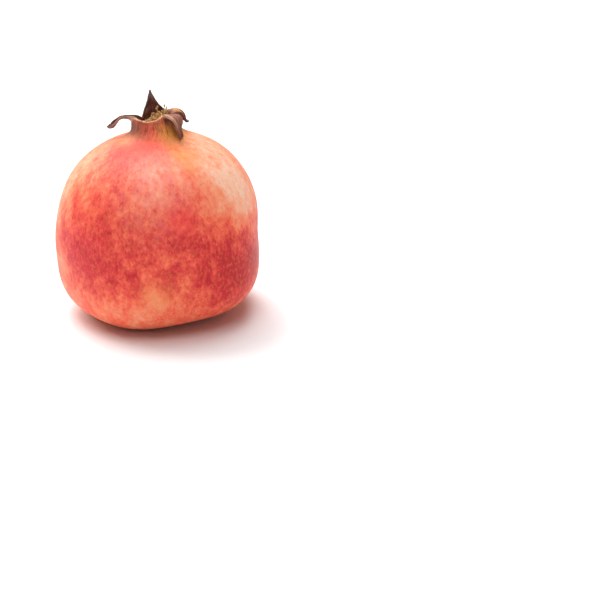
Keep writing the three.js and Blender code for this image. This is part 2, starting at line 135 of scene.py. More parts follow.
def nearness(rays, azimuth, elevation, spread):
    """1 where a ray points that way, and less the more degrees it is off."""
    angle = np.degrees(np.arccos(np.clip(rays @ direction(azimuth, elevation), -1, 1)))
    return np.exp(-(angle / spread) ** 2)


def turned_about_y(points, degrees):
    cosine, sine = np.cos(np.radians(degrees)), np.sin(np.radians(degrees))
    x, y, z = np.moveaxis(points, -1, 0)
    return np.stack([x * cosine + z * sine, y, z * cosine - x * sine], -1)


def skin_distance(azimuth, elevation):
    """How far the skin is from the middle of the body's widest ring."""
    power = np.where(elevation > 0, UPPER_SQUARENESS, LOWER_SQUARENESS)
    height = np.where(elevation > 0, UPPER_HEIGHT, LOWER_HEIGHT)
    flat, rise = np.cos(np.radians(elevation)), np.abs(np.sin(np.radians(elevation)))
    distance = ((flat / BODY_RADIUS) ** power + (rise / height) ** power) ** (-1 / power)
    distance = distance + RIB_HEIGHT * flat ** 2 * np.cos(RIB_COUNT * np.radians(azimuth - RIB_AZIMUTH))
    rays = direction(azimuth, elevation)
    for *place, bulge_height in BULGES:
        distance = distance + bulge_height * nearness(rays, *place)
    return distance


def scar_rise(radius):
    """Height of the stalk's scar over the fruit's bottom."""
    stub = mix(STUB_RISE, DIMPLE_RISE, fade(radius, STUB_RADIUS, DIMPLE_FLOOR_RADIUS))
    dimple = DIMPLE_RISE * (1 - fade(radius, DIMPLE_FLOOR_RADIUS, DIMPLE_RADIUS))
    return np.where(radius < DIMPLE_FLOOR_RADIUS, stub, dimple)


def body_point(azimuth, elevation):
    """Point of the skin over the table: the lower half leans, and the bottom is flat where it rests."""
    azimuth, elevation = np.broadcast_arrays(np.asarray(azimuth, float), np.asarray(elevation, float))
    upright = direction(azimuth, elevation) * skin_distance(azimuth, elevation)[..., None]
    points = turned_about_y(upright, -BODY_LEAN * fade(elevation, -90, 0))
    over = points[..., 2] + LOWER_HEIGHT - FLAT_DEPTH
    soft = np.where(over < 0, 0, over ** 2 / (2 * FLAT_SOFTNESS))
    points[..., 2] = np.where(over < FLAT_SOFTNESS, soft, over - FLAT_SOFTNESS / 2)
    points[..., 2] += np.where(elevation < 0, scar_rise(np.hypot(upright[..., 0], upright[..., 1])), 0)
    return points


print("skin at the front, widest ring:", body_point(-90, 0).round(1))

# %% [markdown]
# The neck has a frame of its own, with its origin at the middle of the rim, because the crown leans and
# stands off the middle of the body. The rim is torn low in front, where one sepal has broken off.

# %% Measures of the crown
CROWN_PLACE = (-1.1, 0)
CROWN_RISE = 6.7
CROWN_LEAN = 1.5
RIM_RADIUS = 9.1
RIM_WALL = 1.35
NECK_FOOT = -3.6
NECK_FURROW = 0.25
NECK_FURROW_SHARPNESS = 3
NECK_FLARE = 2.2
NECK_FLARE_AZIMUTH = -20
NECK_FLARE_POWER = 1.5
CUP_RADIUS = 7.5
CUP_DEPTH = 7.8
SHOULDER_RADIUS = 20
BODY_SLOPE_REACH = 0.5
NECK_SLOPE_REACH = 0.3
RIM_HEIGHTS = np.array([  # compass direction, height over the rim's middle
    (-140, 0.9), (-118, 0.5), (-100, 0.2), (-78, 0.5), (-64, 1.1), (-55, 1.9), (-40, 1.2),
    (-26, 0.7), (2, 0.1), (30, 0.2), (57, -0.1), (93, -0.3), (112, -0.8), (130, -1.5), (150, -1.9),
    (175, -1.7), (205, -0.4), (220, 0.9),
])
print("rim", 2 * RIM_RADIUS, "mm wide, cup", CUP_DEPTH, "mm deep")

# %% [markdown]
# Each sepal takes a sector of the rim. Heading is the angle that its middle line makes with straight up
# as it runs out, drift its way to the side, half width and curl the size and the bend of its
# cross-section. Each list goes from root to tip at even steps, and a smooth curve joins its numbers. So
# do the paints of its two faces. Its edges have a paint each, because a dried edge shows lighter where
# it is frayed and darker where it is scorched.

# %% Measures of the sepals
SEPALS = [
    dict(name="front stub", start=-140, end=-55, length=0),
    dict(name="right front, folded down", start=-55, end=2, length=11.8,
         heading=[82, 92, 118, 162, 174, 166, 160, 160], half_width=[4.4, 4.5, 4.3, 3.5, 2.8, 2.3, 2.1, 1.9],
         curl=[28, 18, 14, 18, 26, 30, 30, 30], drift=[0, -0.2, -0.7, -1.4, -1.8, -2.0, -2.1, -2.3],
         twist=[0, 0, 2, 0, -4, -8, -10, -10], wave=0.3,
         # The dark maroon outer root is partly the sepal's own colour, partly painted shade under its fold.
         outer=["dark maroon", "dark maroon", "bark brown", "rust brown", "rust brown"],
         inner=["rosewood", "rosewood", "rosewood", "mauve brown", "rust brown"],
         edges=(["lip tan", "lip tan", "rosewood", "rust brown", "rust brown"], ["rust brown"])),
    dict(name="right back, curled over", start=2, end=57, length=10.3,
         heading=[46, 76, 108, 134, 152, 164, 124, 50], half_width=[4.3, 4.1, 3.6, 3.1, 2.6, 2.1, 1.6, 0.9],
         curl=[27, 8, -14, -26, -34, -40, -34, -20], drift=[0, -0.2, -0.5, -0.8, -1.0, -1.2, -1.2, -1.2],
         twist=[0, 3, 7, 9, 8, 6, 4, 2], wave=0.7,
         outer=["rosewood", "bark brown", "bark brown", "rust brown", "ash brown"],
         inner=["mauve brown", "peach gold", "bark brown", "bark brown", "grey tan"],
         edges=(["rosewood", "dark maroon", "dark maroon", "dark maroon", "ash brown"],
                ["grey brown", "dry olive", "ash brown", "ash brown", "ash brown"])),
    dict(name="back, upright", start=57, end=130, length=10.5,
         heading=[8, 2, -3, -5, -3, 2, 6, 8], half_width=[5.9, 5.5, 4.7, 3.5, 2.45, 1.65, 0.9, 0.3],
         curl=[36, 38, 42, 46, 44, 38, 26, 12], drift=[0, -0.4, -0.35, -0.1, 0.1, 0.4, 0.6, 0.7],
         twist=[0, 0, -3, -6, -9, -12, -14, -16], wave=0.22,
         outer=["grey brown", "bark brown", "bark brown", "bark brown", "ash brown"],
         inner=["bark brown", "mauve brown", "bark brown", "grey tan", "grey tan"],
         edges=(["umber", "bark brown", "grey tan"], ["ash brown", "ash brown", "grey tan"])),
    dict(name="left, bent out", start=130, end=220, length=12.8,
         heading=[48, 74, 90, 122, 138, 130, 100, 40], half_width=[7, 3.9, 2.7, 2.4, 2.4, 2.4, 2.2, 1.2],
         curl=[45, 42, 46, 50, 52, 50, 44, 30], drift=[0, -0.2, -0.3, -0.2, 0, 0.1, 0.1, -0.2],
         twist=[0, -8, -16, -22, -26, -26, -24, -20], wave=0.25,
         outer=["grey brown", "grey brown", "grey brown", "grey brown", "ash brown"],
         inner=["grey brown", "bark brown", "dark maroon", "bark brown", "ash brown"],
         edges=(["bark brown", "mauve brown", "rosewood", "mauve brown", "ash brown"],
                ["flesh tan", "mauve brown", "flesh tan", "mauve brown", "ash brown"])),
]
SEPAL_TIP_WALL = 0.65
ROOT_BLEND_POWER = 3
WAVE_ALONG = (7, 5)
WAVE_ACROSS = (2.4, 4.1)
WAVE_PER_WIDTH = 0.045
WAVE_START = 0.35
print(len(SEPALS), "sectors round the rim,", sum(s["length"] > 0 for s in SEPALS), "whole sepals")

# %% Points of the neck and the cup


def rim_height(azimuth):
    turn = (azimuth - RIM_HEIGHTS[0, 0]) % 360 + RIM_HEIGHTS[0, 0]
    after = np.clip(np.searchsorted(RIM_HEIGHTS[:, 0], turn, side="right"), 1, len(RIM_HEIGHTS) - 1)
    low, high = RIM_HEIGHTS[after - 1], RIM_HEIGHTS[after]
    return mix(low[..., 1], high[..., 1], fade(turn, low[..., 0], high[..., 0]))


def rim_radius(azimuth):
    turn = (azimuth - SEPALS[0]["start"]) % 360 + SEPALS[0]["start"]
    starts = np.array([sepal["start"] for sepal in SEPALS])
    ends = np.array([sepal["end"] for sepal in SEPALS])
    sector = np.clip(np.searchsorted(ends, turn), 0, len(SEPALS) - 1)
    across = (turn - starts[sector]) / (ends[sector] - starts[sector])
    return RIM_RADIUS - NECK_FURROW * np.cos(2 * np.pi * across) ** NECK_FURROW_SHARPNESS


def neck_radius(azimuth, height):
    side = (1 + np.cos(np.radians(azimuth - NECK_FLARE_AZIMUTH))) / 2
    top = rim_height(azimuth)
    down = np.maximum(0, (top - height) / (top - NECK_FOOT))
    return rim_radius(azimuth) + NECK_FLARE * side * down ** NECK_FLARE_POWER


CROWN_ORIGIN = np.array([*CROWN_PLACE, body_point(0, 90)[2] + CROWN_RISE])


def in_fruit_frame(points):
    """From the crown's frame to the fruit's."""
    return turned_about_y(points, -CROWN_LEAN) + CROWN_ORIGIN


def in_crown_frame(points):
    return turned_about_y(points - CROWN_ORIGIN, CROWN_LEAN)


def crown_point(azimuth, radius, height):
    spoke = direction(azimuth, 0) * np.asarray(radius, float)[..., None]
    spoke[..., 2] = height
    return in_fruit_frame(spoke)


def elevation_at(radius, upper):
    """Elevation at which the body's bare superellipse has a radius."""
    power, height = (UPPER_SQUARENESS, UPPER_HEIGHT) if upper else (LOWER_SQUARENESS, LOWER_HEIGHT)
    rise = height * (1 - (radius / BODY_RADIUS) ** power) ** (1 / power)
    return np.degrees(np.arctan2(rise, radius)) * (1 if upper else -1)


def unit(vectors):
    return vectors / np.linalg.norm(vectors, axis=-1, keepdims=True)


def shoulder_rows(azimuths, shares):
    """Bezier curves from the body's shoulder up into the neck's foot, at the given shares of their way."""
    shoulder = elevation_at(SHOULDER_RADIUS, True)
    start = body_point(azimuths, shoulder)
    end = crown_point(azimuths, neck_radius(azimuths, NECK_FOOT), NECK_FOOT)
    span = np.linalg.norm(end - start, axis=-1, keepdims=True)
    up = unit(body_point(azimuths, shoulder + 1) - start)
    down = unit(crown_point(azimuths, neck_radius(azimuths, NECK_FOOT - 1), NECK_FOOT - 1) - end)
    first, second = start + up * span * BODY_SLOPE_REACH, end + down * span * NECK_SLOPE_REACH
    return [(1 - s) ** 3 * start + 3 * s * (1 - s) ** 2 * first + 3 * s ** 2 * (1 - s) * second
            + s ** 3 * end for s in shares]


print("rim's middle at", CROWN_ORIGIN.round(1))

# %% [markdown]
# A dried sepal is a thin blade with a frayed edge and fine ribs that run its length. Its middle line is
# summed up from small steps, each in the heading of its place, and every row of it is an arc across
# that line. The wall's inner face is the same arc moved through the wall.

# %% Middle line and cross-sections of a sepal
SEPAL_ROWS = 24
STEPS_PER_ROW = 6
UP = np.array([0.0, 0.0, 1.0])


def along(values, share):
    """Value of an evenly spaced list at a share of its length, on a smooth curve through its entries."""
    values = np.asarray(values, float)
    place = np.minimum(share, 1) * (len(values) - 1)
    i = np.minimum(np.floor(place).astype(int), len(values) - 2)

    def at(k):
        return values[np.clip(k, 0, len(values) - 1)]

    slope_here, slope_next, s = (at(i + 1) - at(i - 1)) / 2, (at(i + 2) - at(i)) / 2, place - i
    cubic = 2 * (at(i) - at(i + 1)) + slope_here + slope_next
    square = 3 * (at(i + 1) - at(i)) - 2 * slope_here - slope_next
    return ((cubic * s + square) * s + slope_here) * s + at(i)


def turned_about(vectors, axes, degrees):
    """Vectors turned about axes that they are square to."""
    cosine, sine = np.cos(np.radians(degrees))[:, None], np.sin(np.radians(degrees))[:, None]
    return vectors * cosine + np.cross(axes, vectors) * sine


def sepal_sections(sepal, shares):
    """Middle, way across and way outward of each cross-section."""
    sector = (sepal["start"] + sepal["end"]) / 2
    out = direction(sector, 0)
    side = np.cross(UP, out)
    count = SEPAL_ROWS * STEPS_PER_ROW
    heading = np.radians(along(sepal["heading"], (np.arange(count) + 0.5) / count))
    steps = (np.outer(np.sin(heading), out) + np.outer(np.cos(heading), UP)) * sepal["length"] / count
    path = np.vstack([np.zeros(3), np.cumsum(steps, 0)])[::STEPS_PER_ROW]
    middle = path + out * RIM_RADIUS + UP * rim_height(sector)
    middle = middle + np.outer(along(sepal["drift"], shares), side)
    heading = np.radians(along(sepal["heading"], shares))
    run = np.outer(np.sin(heading), out) + np.outer(np.cos(heading), UP)
    outward = np.outer(np.cos(heading), out) - np.outer(np.sin(heading), UP)
    twist = along(sepal["twist"], shares)
    sides = np.tile(side, (len(shares), 1))
    return middle, turned_about(sides, run, twist), turned_about(outward, run, twist)


print("rows along a sepal", SEPAL_ROWS)

# %% Faces of a sepal
CELLS_PER_SEPAL = 18
ACROSS = np.linspace(-1, 1, CELLS_PER_SEPAL + 1)
FRAY = 0.07
FRAY_WAVES = 9
FRAY_START = (0.1, 0.4)


def frayed(half_width, sepal, shares):
    """Half width of the two sides of each row, with a frayed edge past the root."""
    rough = [[noise.noise(Vector((FRAY_WAVES * share, sepal["start"], side))) for side in (-1, 1)]
             for share in shares]
    return half_width[:, None] * (1 + FRAY * np.array(rough) * fade(shares, *FRAY_START)[:, None])


def sector_azimuths(sepal):
    return mix(sepal["start"], sepal["end"], (ACROSS + 1) / 2)


def sepal_faces(sepal):
    """Outer and inner face as arrays of rows of points, in the crown's frame."""
    shares = np.arange(SEPAL_ROWS + 1) / SEPAL_ROWS
    middle, across, outward = sepal_sections(sepal, shares)
    half_width = along(sepal["half_width"], shares)
    sides = frayed(half_width, sepal, shares)
    width = np.where(ACROSS < 0, sides[:, :1], sides[:, 1:])
    curl = np.radians(along(sepal["curl"], shares))[:, None]
    bend = curl * ACROSS
    t = shares[:, None]
    wave_height = np.minimum(sepal["wave"], WAVE_PER_WIDTH * half_width ** 2) * fade(shares, 0, WAVE_START)
    wave = wave_height[:, None] * np.sin(WAVE_ALONG[0] * t + WAVE_ACROSS[0] * ACROSS + sepal["start"])
    wave = wave * np.sin(WAVE_ALONG[1] * t + WAVE_ACROSS[1] * ACROSS)
    rise = wave - half_width[:, None] * (1 - np.cos(bend)) / curl
    outer = middle[:, None] + across[:, None] * (width * np.sin(bend) / curl)[..., None]
    outer = outer + outward[:, None] * rise[..., None]
    through = across[:, None] * np.sin(bend)[..., None] + outward[:, None] * np.cos(bend)[..., None]
    azimuths = sector_azimuths(sepal)
    on_rim = direction(azimuths, 0) * rim_radius(azimuths)[:, None] + np.outer(rim_height(azimuths), UP)
    outer = outer + (on_rim - outer[0]) * ((1 - t) ** ROOT_BLEND_POWER)[..., None]
    return outer, outer - through * mix(RIM_WALL, SEPAL_TIP_WALL, t)[..., None]


print("cells across a sepal", CELLS_PER_SEPAL)

# %% [markdown]
# The rind's colour comes from one red pigment over a pale yellow ground, so one number can stand for
# it: the blush, from 0 for a pale yellow to 1 for a deep crimson. It is deep round the middle, where the
# sun reached it, and weak underneath and where leaves shaded the shoulders. Some patches of it paint
# light: less blush partly paints the rim light on the fruit's left and right edges and paints a
# highlight on its shoulder, and more blush paints shade low on its right. It is a matter of place, so
# it is an attribute of the mesh, laid on in soft patches as with a wide brush.

# %% Blush of the rind
BLUSH_BY_ELEVATION = [0.38, 0.40, 0.46, 0.58, 0.78, 0.73, 0.62, 0.69, 0.70]  # from -90 to 90 degrees
BLUSH_PATCHES = [  # compass direction, elevation and spread in degrees, more or less blush
    # (-172, 12), (-170, 35) and (-154, -8) at the left edge and (-26, 45), (-20, 25) at the right shoulder
    # take blush away: partly pale rind, partly painted rim light.
    (-172, 12, 17, -0.2), (-170, 35, 22, -0.24), (-154, -8, 10, -0.27), (-130, 9, 10, 0.07),
    (-26, 45, 23, -0.3), (-20, 25, 18, -0.3), (-46, 30, 9, -0.12), (-50, 57, 12, -0.08),
    # (-30, -8) adds blush as painted shade low on the fruit's right.
    (-30, -8, 22, 0.26), (-52, -14, 14, 0.08), (-120, 8, 18, 0.08), (-115, 46, 10, 0.1),
    # (-90, 52) takes blush away as a painted highlight on the shoulder.
    (-90, 52, 12, -0.12), (-58, 38, 10, 0.03), (-68, 27, 8, 0.08), (-70, 18, 7, 0.1),
    (-112, 66, 14, 0.2), (-160, 56, 12, -0.12), (-176, 72, 13, -0.2), (-87, -15, 8, -0.13),
    (-107, -24, 9, -0.05), (-90, 37, 8, -0.08), (-88, 24, 8, -0.04), (60, 18, 30, -0.16),
    (105, 48, 24, -0.16), (150, -5, 26, 0.06), (0, 70, 16, -0.3),
]


def rays_to(points):
    """Directions of points from the middle of the body's widest ring."""
    return unit(points - np.array([0, 0, LOWER_HEIGHT - FLAT_DEPTH]))


def blush_at(points):
    rays = rays_to(points)
    elevation = np.degrees(np.arcsin(rays[..., 2]))
    blush = along(BLUSH_BY_ELEVATION, (elevation + 90) / 180)
    for *place, amount in BLUSH_PATCHES:
        blush = blush + amount * nearness(rays, *place)
    return blush


print("blush in the middle of the front:", round(float(blush_at(body_point(-90, 10))), 2))

# %% [markdown]
# The neck and the sepals have dried, and then their pigments turn brown and grey. Those colours are
# paints, laid over the rind as a second attribute, whose alpha says how much of the rind they cover.

# %% Paints of the dried parts
PAINTS = {
    "rose": "#E84050", "vivid red": "#FF3440", "flame": "#FF4422", "painted shade red": "#BE1C10",
    "painted highlight": "#FFC0B4", "coral": "#F0604C", "orange": "#F5894E", "gold": "#E0963C",
    "painted light gold": "#F8A444", "amber": "#EFAE66", "ochre": "#B8742F", "brick": "#B4503E",
    "rust": "#A45A44", "flesh tan": "#C59A80", "lip tan": "#E2B494", "peach gold": "#E0A468",
    "rosewood": "#A26C5C", "mauve brown": "#8F5E55", "grey brown": "#7E584C", "rust brown": "#8A4E34",
    "bark brown": "#6B3D36", "ash brown": "#5C4C4A", "grey tan": "#8A7468", "dark maroon": "#5E2A2C",
    "umber": "#4A2C1C", "dry olive": "#8C7A4C", "khaki": "#D2A470", "scar brown": "#8A6A4A",
}
NECK_PATCHES = [  # compass direction, height in the crown's frame, spread in each, paint, strength
    (90, -3, 400, 5, "khaki", 0.6), (180, -2, 34, 4.6, "grey brown", 0.95),
    (-143, -3, 24, 4.2, "grey brown", 0.95), (-147, -8.8, 22, 2.2, "khaki", 0.85),
    (-117, -3, 13, 3.8, "rust", 0.9), (-102, -3, 10, 3.4, "brick", 0.9), (-84, -3.8, 15, 4.2, "coral", 0.95),
    # The gold patches at (-48, -5.6) and (-20, -6) are lighter than the neck's own gold: painted light in
    # the shade of the right front sepal.
    (-66, -3.2, 15, 4.4, "orange", 0.95), (-48, -5.6, 18, 4, "painted light gold", 0.97),
    (-20, -6, 16, 4, "painted light gold", 0.9), (-57, -8.4, 12, 1.6, "amber", 0.6), (-38, -9, 12, 2, "amber", 0.5),
    (-100, -0.7, 50, 0.6, "rust", 0.7), (-82, -2.6, 6, 0.8, "brick", 0.6), (-62, -7.6, 6, 0.9, "brick", 0.5),
    # The dark maroon patch at (-44, 0.2) is painted shade on the neck under the right front sepal's fold.
    (-44, 0.2, 14, 1.6, "dark maroon", 0.97), (-15, -1, 20, 2.5, "mauve brown", 0.7),
]
NECK_PAINT_MARGIN = 3  # how far past the rim's radius the neck's paints are full
NECK_PAINT_FADE = 4
NECK_PAINT_HEIGHTS = (-16, -8)  # where they start and where they are full, from the rim's middle
BODY_PATCHES = [  # compass direction, elevation and spread in degrees, paint, strength
    # The pale pink patches at (-91, 57) and (-85, 42) are a painted highlight on the shoulder.
    (-130, 4, 18, "rose", 0.35), (-91, 57, 11, "painted highlight", 0.34), (-86, -13, 8, "amber", 0.35),
    (-85, 42, 20, "painted highlight", 0.26), (-71, 27, 8, "vivid red", 0.55), (-112, 71, 13, "flame", 0.75),
    # The dark red patch at (-14, -6) is painted shade low on the fruit's right.
    (-38, 64, 8, "orange", 0.25), (-14, -6, 16, "painted shade red", 0.5), (-61, 67, 4, "gold", 0.5),
    (-57, 61, 4, "gold", 0.5), (-55, 54, 4, "gold", 0.4), (-42, 70.5, 2.5, "ochre", 0.6),
    (-62, 71, 2, "ochre", 0.5), (-50, 60, 6, "amber", 0.4), (0, -90, 6, "scar brown", 1.0),
]
LIP_PAINT = "lip tan"
LIP_DEPTH = 0.5
LIP_STRENGTH = 0.7
LIP_FRONT = (-0.35, 0.25)  # how far to the front the pale lip starts and is full, as shares of the radius
print(len(PAINTS), "paints,", len(BODY_PATCHES) + len(NECK_PATCHES), "patches")

# %% Colour and cover of the paints at a point


def linear(hex_colour):
    """sRGB hex to linear red, green, blue."""
    srgb = np.array([int(hex_colour[i:i + 2], 16) for i in (1, 3, 5)]) / 255
    return np.where(srgb <= 0.04045, srgb / 12.92, ((srgb + 0.055) / 1.055) ** 2.4)


def laid_on(ground, weight, paint):
    """Paint laid over colours with alpha."""
    weight = np.asarray(weight, float)[..., None]
    alpha = weight + ground[..., 3:] * (1 - weight)
    colour = linear(PAINTS[paint]) * weight + ground[..., :3] * ground[..., 3:] * (1 - weight)
    return np.concatenate([colour / np.maximum(alpha, 1e-6), alpha], -1)


def solid_paint(paint, points):
    return np.broadcast_to(np.append(linear(PAINTS[paint]), 1), (*points.shape[:-1], 4))


def dried_tint(points):
    """Colour and cover of the paints at points of the body and the neck."""
    rays = rays_to(points)
    tint = np.zeros((*points.shape[:-1], 4))
    for *place, paint, strength in BODY_PATCHES:
        tint = laid_on(tint, strength * nearness(rays, *place), paint)
    local = in_crown_frame(points)
    turn = np.degrees(np.arctan2(local[..., 1], local[..., 0]))
    outside = np.maximum(np.hypot(local[..., 0], local[..., 1]) - RIM_RADIUS - NECK_PAINT_MARGIN, 0)
    near = np.exp(-(outside / NECK_PAINT_FADE) ** 2)
    near = near * fade(points[..., 2] - CROWN_ORIGIN[2], *NECK_PAINT_HEIGHTS)
    for azimuth, height, spread, reach, paint, strength in NECK_PATCHES:
        away = ((turn - azimuth + 180) % 360 - 180) / spread
        above = (local[..., 2] - height) / reach
        tint = laid_on(tint, strength * near * np.exp(-away ** 2 - above ** 2), paint)
    lip = fade(local[..., 2] - rim_height(turn), -LIP_DEPTH, 0) * lip_share(turn) * (near > 0)
    return laid_on(tint, LIP_STRENGTH * lip, LIP_PAINT)


def lip_share(azimuth):
    """How pale the torn lip is: most in front, not at all under the back sepals."""
    return fade(-np.sin(np.radians(azimuth)), *LIP_FRONT)


print("cover of the paint on top of the body:", round(float(dried_tint(body_point(0, 90))[3]), 2))

# %% [markdown]
# Streaks on the rind run from the scar up to the crown. A pattern can only follow them if the mesh
# carries a coordinate that does, so every vertex gets a grain vector in millimetres: a place round the
# fruit in x and y, and the way up along the skin in z. Round the neck the circle is kept wider than it
# is, so that the streaks get finer there, and don't pinch to nothing.

# %% Rows and faces of a cage
RELIEF_HEIGHTS = (0.1, 6)  # over the table, where the relief starts and where it is full
TRAITS = {
    "tint": "FLOAT_COLOR", "grain": "FLOAT_VECTOR", "blush": "FLOAT", "dry": "FLOAT", "relief": "FLOAT",
}
cage = {"points": [], "faces": [], **{trait: [] for trait in TRAITS}}


def add_row(points, azimuths, way, dry=1.0, tint=None):
    """Adds a row of vertices with their traits, and gives back their numbers."""
    radius = np.hypot(points[:, 0] - CROWN_ORIGIN[0], points[:, 1]).mean()
    reach = np.sqrt(max(radius, RIM_RADIUS) * BODY_RADIUS)
    grain = direction(azimuths, 0) * reach + UP * way
    first = len(cage["points"])
    count = len(points)
    cage["points"].extend(points)
    cage["grain"].extend(grain)
    cage["tint"].extend(dried_tint(points) if tint is None else tint)
    cage["blush"].extend(blush_at(points))
    cage["dry"].extend(np.broadcast_to(dry, count))
    cage["relief"].extend(fade(points[:, 2], *RELIEF_HEIGHTS))
    return list(range(first, first + count))


def join(low, high, closed=True, inward=False):
    """Quads between two rows."""
    for i in range(len(low) if closed else len(low) - 1):
        j = (i + 1) % len(low)
        quad = (low[i], low[j], high[j], high[i])
        cage["faces"].append(quad[::-1] if inward else quad)


def close_off(pole, ring, inward=False):
    for i, vertex in enumerate(ring):
        triangle = (pole, ring[(i + 1) % len(ring)], vertex)
        cage["faces"].append(triangle[::-1] if inward else triangle)


print("traits of a vertex:", ", ".join(TRAITS))

# %% Build the cage of the fruit
SCAR_RADII = [0.7, 1.4, 1.8, 2.2, 2.8, 3.4, 4.1, 4.8, 5.7, 6.6, 7.5, 8.5, 10, 12, 14, 16, 18, 20]
BODY_ROWS = 50
SHOULDER_ROWS = 14
NECK_ROWS = 8
RIM_JAG = 0.3
TOOTH_WIDTH = 5
TEAR_START = (4, 25)  # degrees past the stub's start where the teeth start and where they are full
TEAR_END = 20
SCAR_EDGE = (3, 6)
NECK_DRYNESS = 0.8
DRY_HEIGHTS = (-8.5, -4)  # from the rim's middle, where the neck starts to be dry and where it is
columns = np.concatenate([sector_azimuths(sepal)[:-1] for sepal in SEPALS])


def torn_rim(azimuths):
    """Height of the rim with the small teeth of the tear in front."""
    start, end = SEPALS[0]["start"], SEPALS[0]["end"]
    torn = fade(azimuths - start, *TEAR_START) * (1 - fade(azimuths, end - TEAR_END, end))
    teeth = np.array([noise.noise(Vector((azimuth / TOOTH_WIDTH, 0, 0))) for azimuth in azimuths])
    return rim_height(azimuths) + RIM_JAG * torn * teeth


def add_body():
    """Skin from the scar to the rim. Gives back the rim's vertices and the way along the skin there."""
    scar = [elevation_at(radius, False) for radius in SCAR_RADII]
    body = mix(scar[-1], elevation_at(SHOULDER_RADIUS, True), np.arange(1, BODY_ROWS + 1) / BODY_ROWS)
    rings = [body_point(columns, elevation) for elevation in [*scar, *body]]
    rings += shoulder_rows(columns, np.arange(1, SHOULDER_ROWS + 1) / SHOULDER_ROWS)
    top = torn_rim(columns)
    for share in np.arange(1, NECK_ROWS + 1) / NECK_ROWS:
        height = mix(NECK_FOOT, top, share)
        rings.append(crown_point(columns, neck_radius(columns, height), height))
    pole = body_point(0, -90)[None]
    bottom = add_row(pole, np.zeros(1), 0.0)[0]
    way, last, below = 0.0, np.repeat(pole, len(columns), 0), None
    for ring in rings:
        way += np.linalg.norm(ring - last, axis=1).mean()
        upper = way > BODY_RADIUS
        neck_dry = NECK_DRYNESS * fade(in_crown_frame(ring)[:, 2], *DRY_HEIGHTS)
        scar_dry = 1 - fade(np.hypot(ring[:, 0], ring[:, 1]), *SCAR_EDGE)
        dry = neck_dry if upper else scar_dry
        row = add_row(ring, columns, way, dry)
        if below:
            join(below, row)
        else:
            close_off(bottom, row)
        below, last = row, ring
    return below, way


outer_rim, rim_way = add_body()
print("skin from scar to rim", round(rim_way, 1), "mm,", len(cage["points"]), "vertices")

# %% Rows of the cup
CUP_ROWS = [  # share of the depth, share of the cup's radius
    (0.12, 1), (0.3, 1), (0.5, 1), (0.68, 1), (0.82, 0.97), (0.93, 0.88), (1, 0.72), (1, 0.5), (1, 0.25),
]
CUP_PAINTED_SHADE = (0.05, 0.45)  # shares of the depth where the dark of the cup starts and where it is full
INNER_WAY = 40


def add_cup(inner_rim):
    above = inner_rim
    top = torn_rim(columns)
    for depth, width in CUP_ROWS:
        height = mix(top, -CUP_DEPTH, depth)
        points = crown_point(columns, np.full(len(columns), CUP_RADIUS * width), height)
        tint = laid_on(solid_paint("bark brown", points), lip_share(columns), "flesh tan")
        # Umber laid on deeper into the cup is painted shade in the hollow.
        tint = laid_on(tint, np.full(len(points), fade(depth, *CUP_PAINTED_SHADE)), "umber")
        row = add_row(points, columns, rim_way + INNER_WAY + depth * CUP_DEPTH, tint=tint)
        join(row, above, inward=True)
        above = row
    floor = add_row(crown_point(0, 0.0, -CUP_DEPTH)[None], np.zeros(1), rim_way)[0]
    close_off(floor, above)


print("rows of the cup", len(CUP_ROWS))

# %% Blades and paints of the sepals
ROOT_PAINT_REACH = 0.2
EDGE_STRENGTH = 0.75
EDGE_BAND = (0.65, 1.0)  # from the middle to the edge, where its paint starts and where it is full
EDGE_ROOT = 0.1


def paint_along(tint, paints, share, weight):
    """Lays the paint of a row over its colours, from a list of paints from root to tip."""
    tint = laid_on(tint, weight, paints[0])
    for number, paint in enumerate(paints[1:]):
        tint = laid_on(tint, weight * fade(share * (len(paints) - 1), number, number + 1), paint)
    return tint


def sepal_tint(sepal, points, share, inner):
    """Colour of one row of a sepal: its paints from root to tip, and others along its edges."""
    face = "inner" if inner else "outer"
    cover = np.full(len(points), 1.0 if inner else fade(share, 0, ROOT_PAINT_REACH))
    tint = paint_along(dried_tint(points), sepal[face], share, cover)
    for side, paints in zip((-1, 1), sepal["edges"]):
        edge = EDGE_STRENGTH * fade(ACROSS * side, *EDGE_BAND) * fade(share, 0, EDGE_ROOT)
        tint = paint_along(tint, paints, share, edge)
    return tint


def add_blade(sepal, outer_root, inner_root):
    outer, inner = sepal_faces(sepal)
    rows = [(outer_root, inner_root)]
    for k in range(1, SEPAL_ROWS + 1):
        share = k / SEPAL_ROWS
        way = rim_way + share * sepal["length"]
        pair = []
        for face, far in ((outer, 0), (inner, INNER_WAY)):
            points = in_fruit_frame(face[k])
            tint = sepal_tint(sepal, points, share, far > 0)
            pair.append(add_row(points, sector_azimuths(sepal), way + far, tint=tint))
        rows.append(pair)
    for (low_outer, low_inner), (high_outer, high_inner) in zip(rows, rows[1:]):
        join(low_outer, high_outer, closed=False)
        join(low_inner, high_inner, closed=False, inward=True)
    join([row[0][0] for row in rows], [row[1][0] for row in rows], closed=False)
    join([row[0][-1] for row in rows], [row[1][-1] for row in rows], closed=False, inward=True)
    join(rows[-1][0], rows[-1][1], closed=False)


print("paints along each sepal's faces:", [len(sepal["outer"]) for sepal in SEPALS if sepal["length"]])

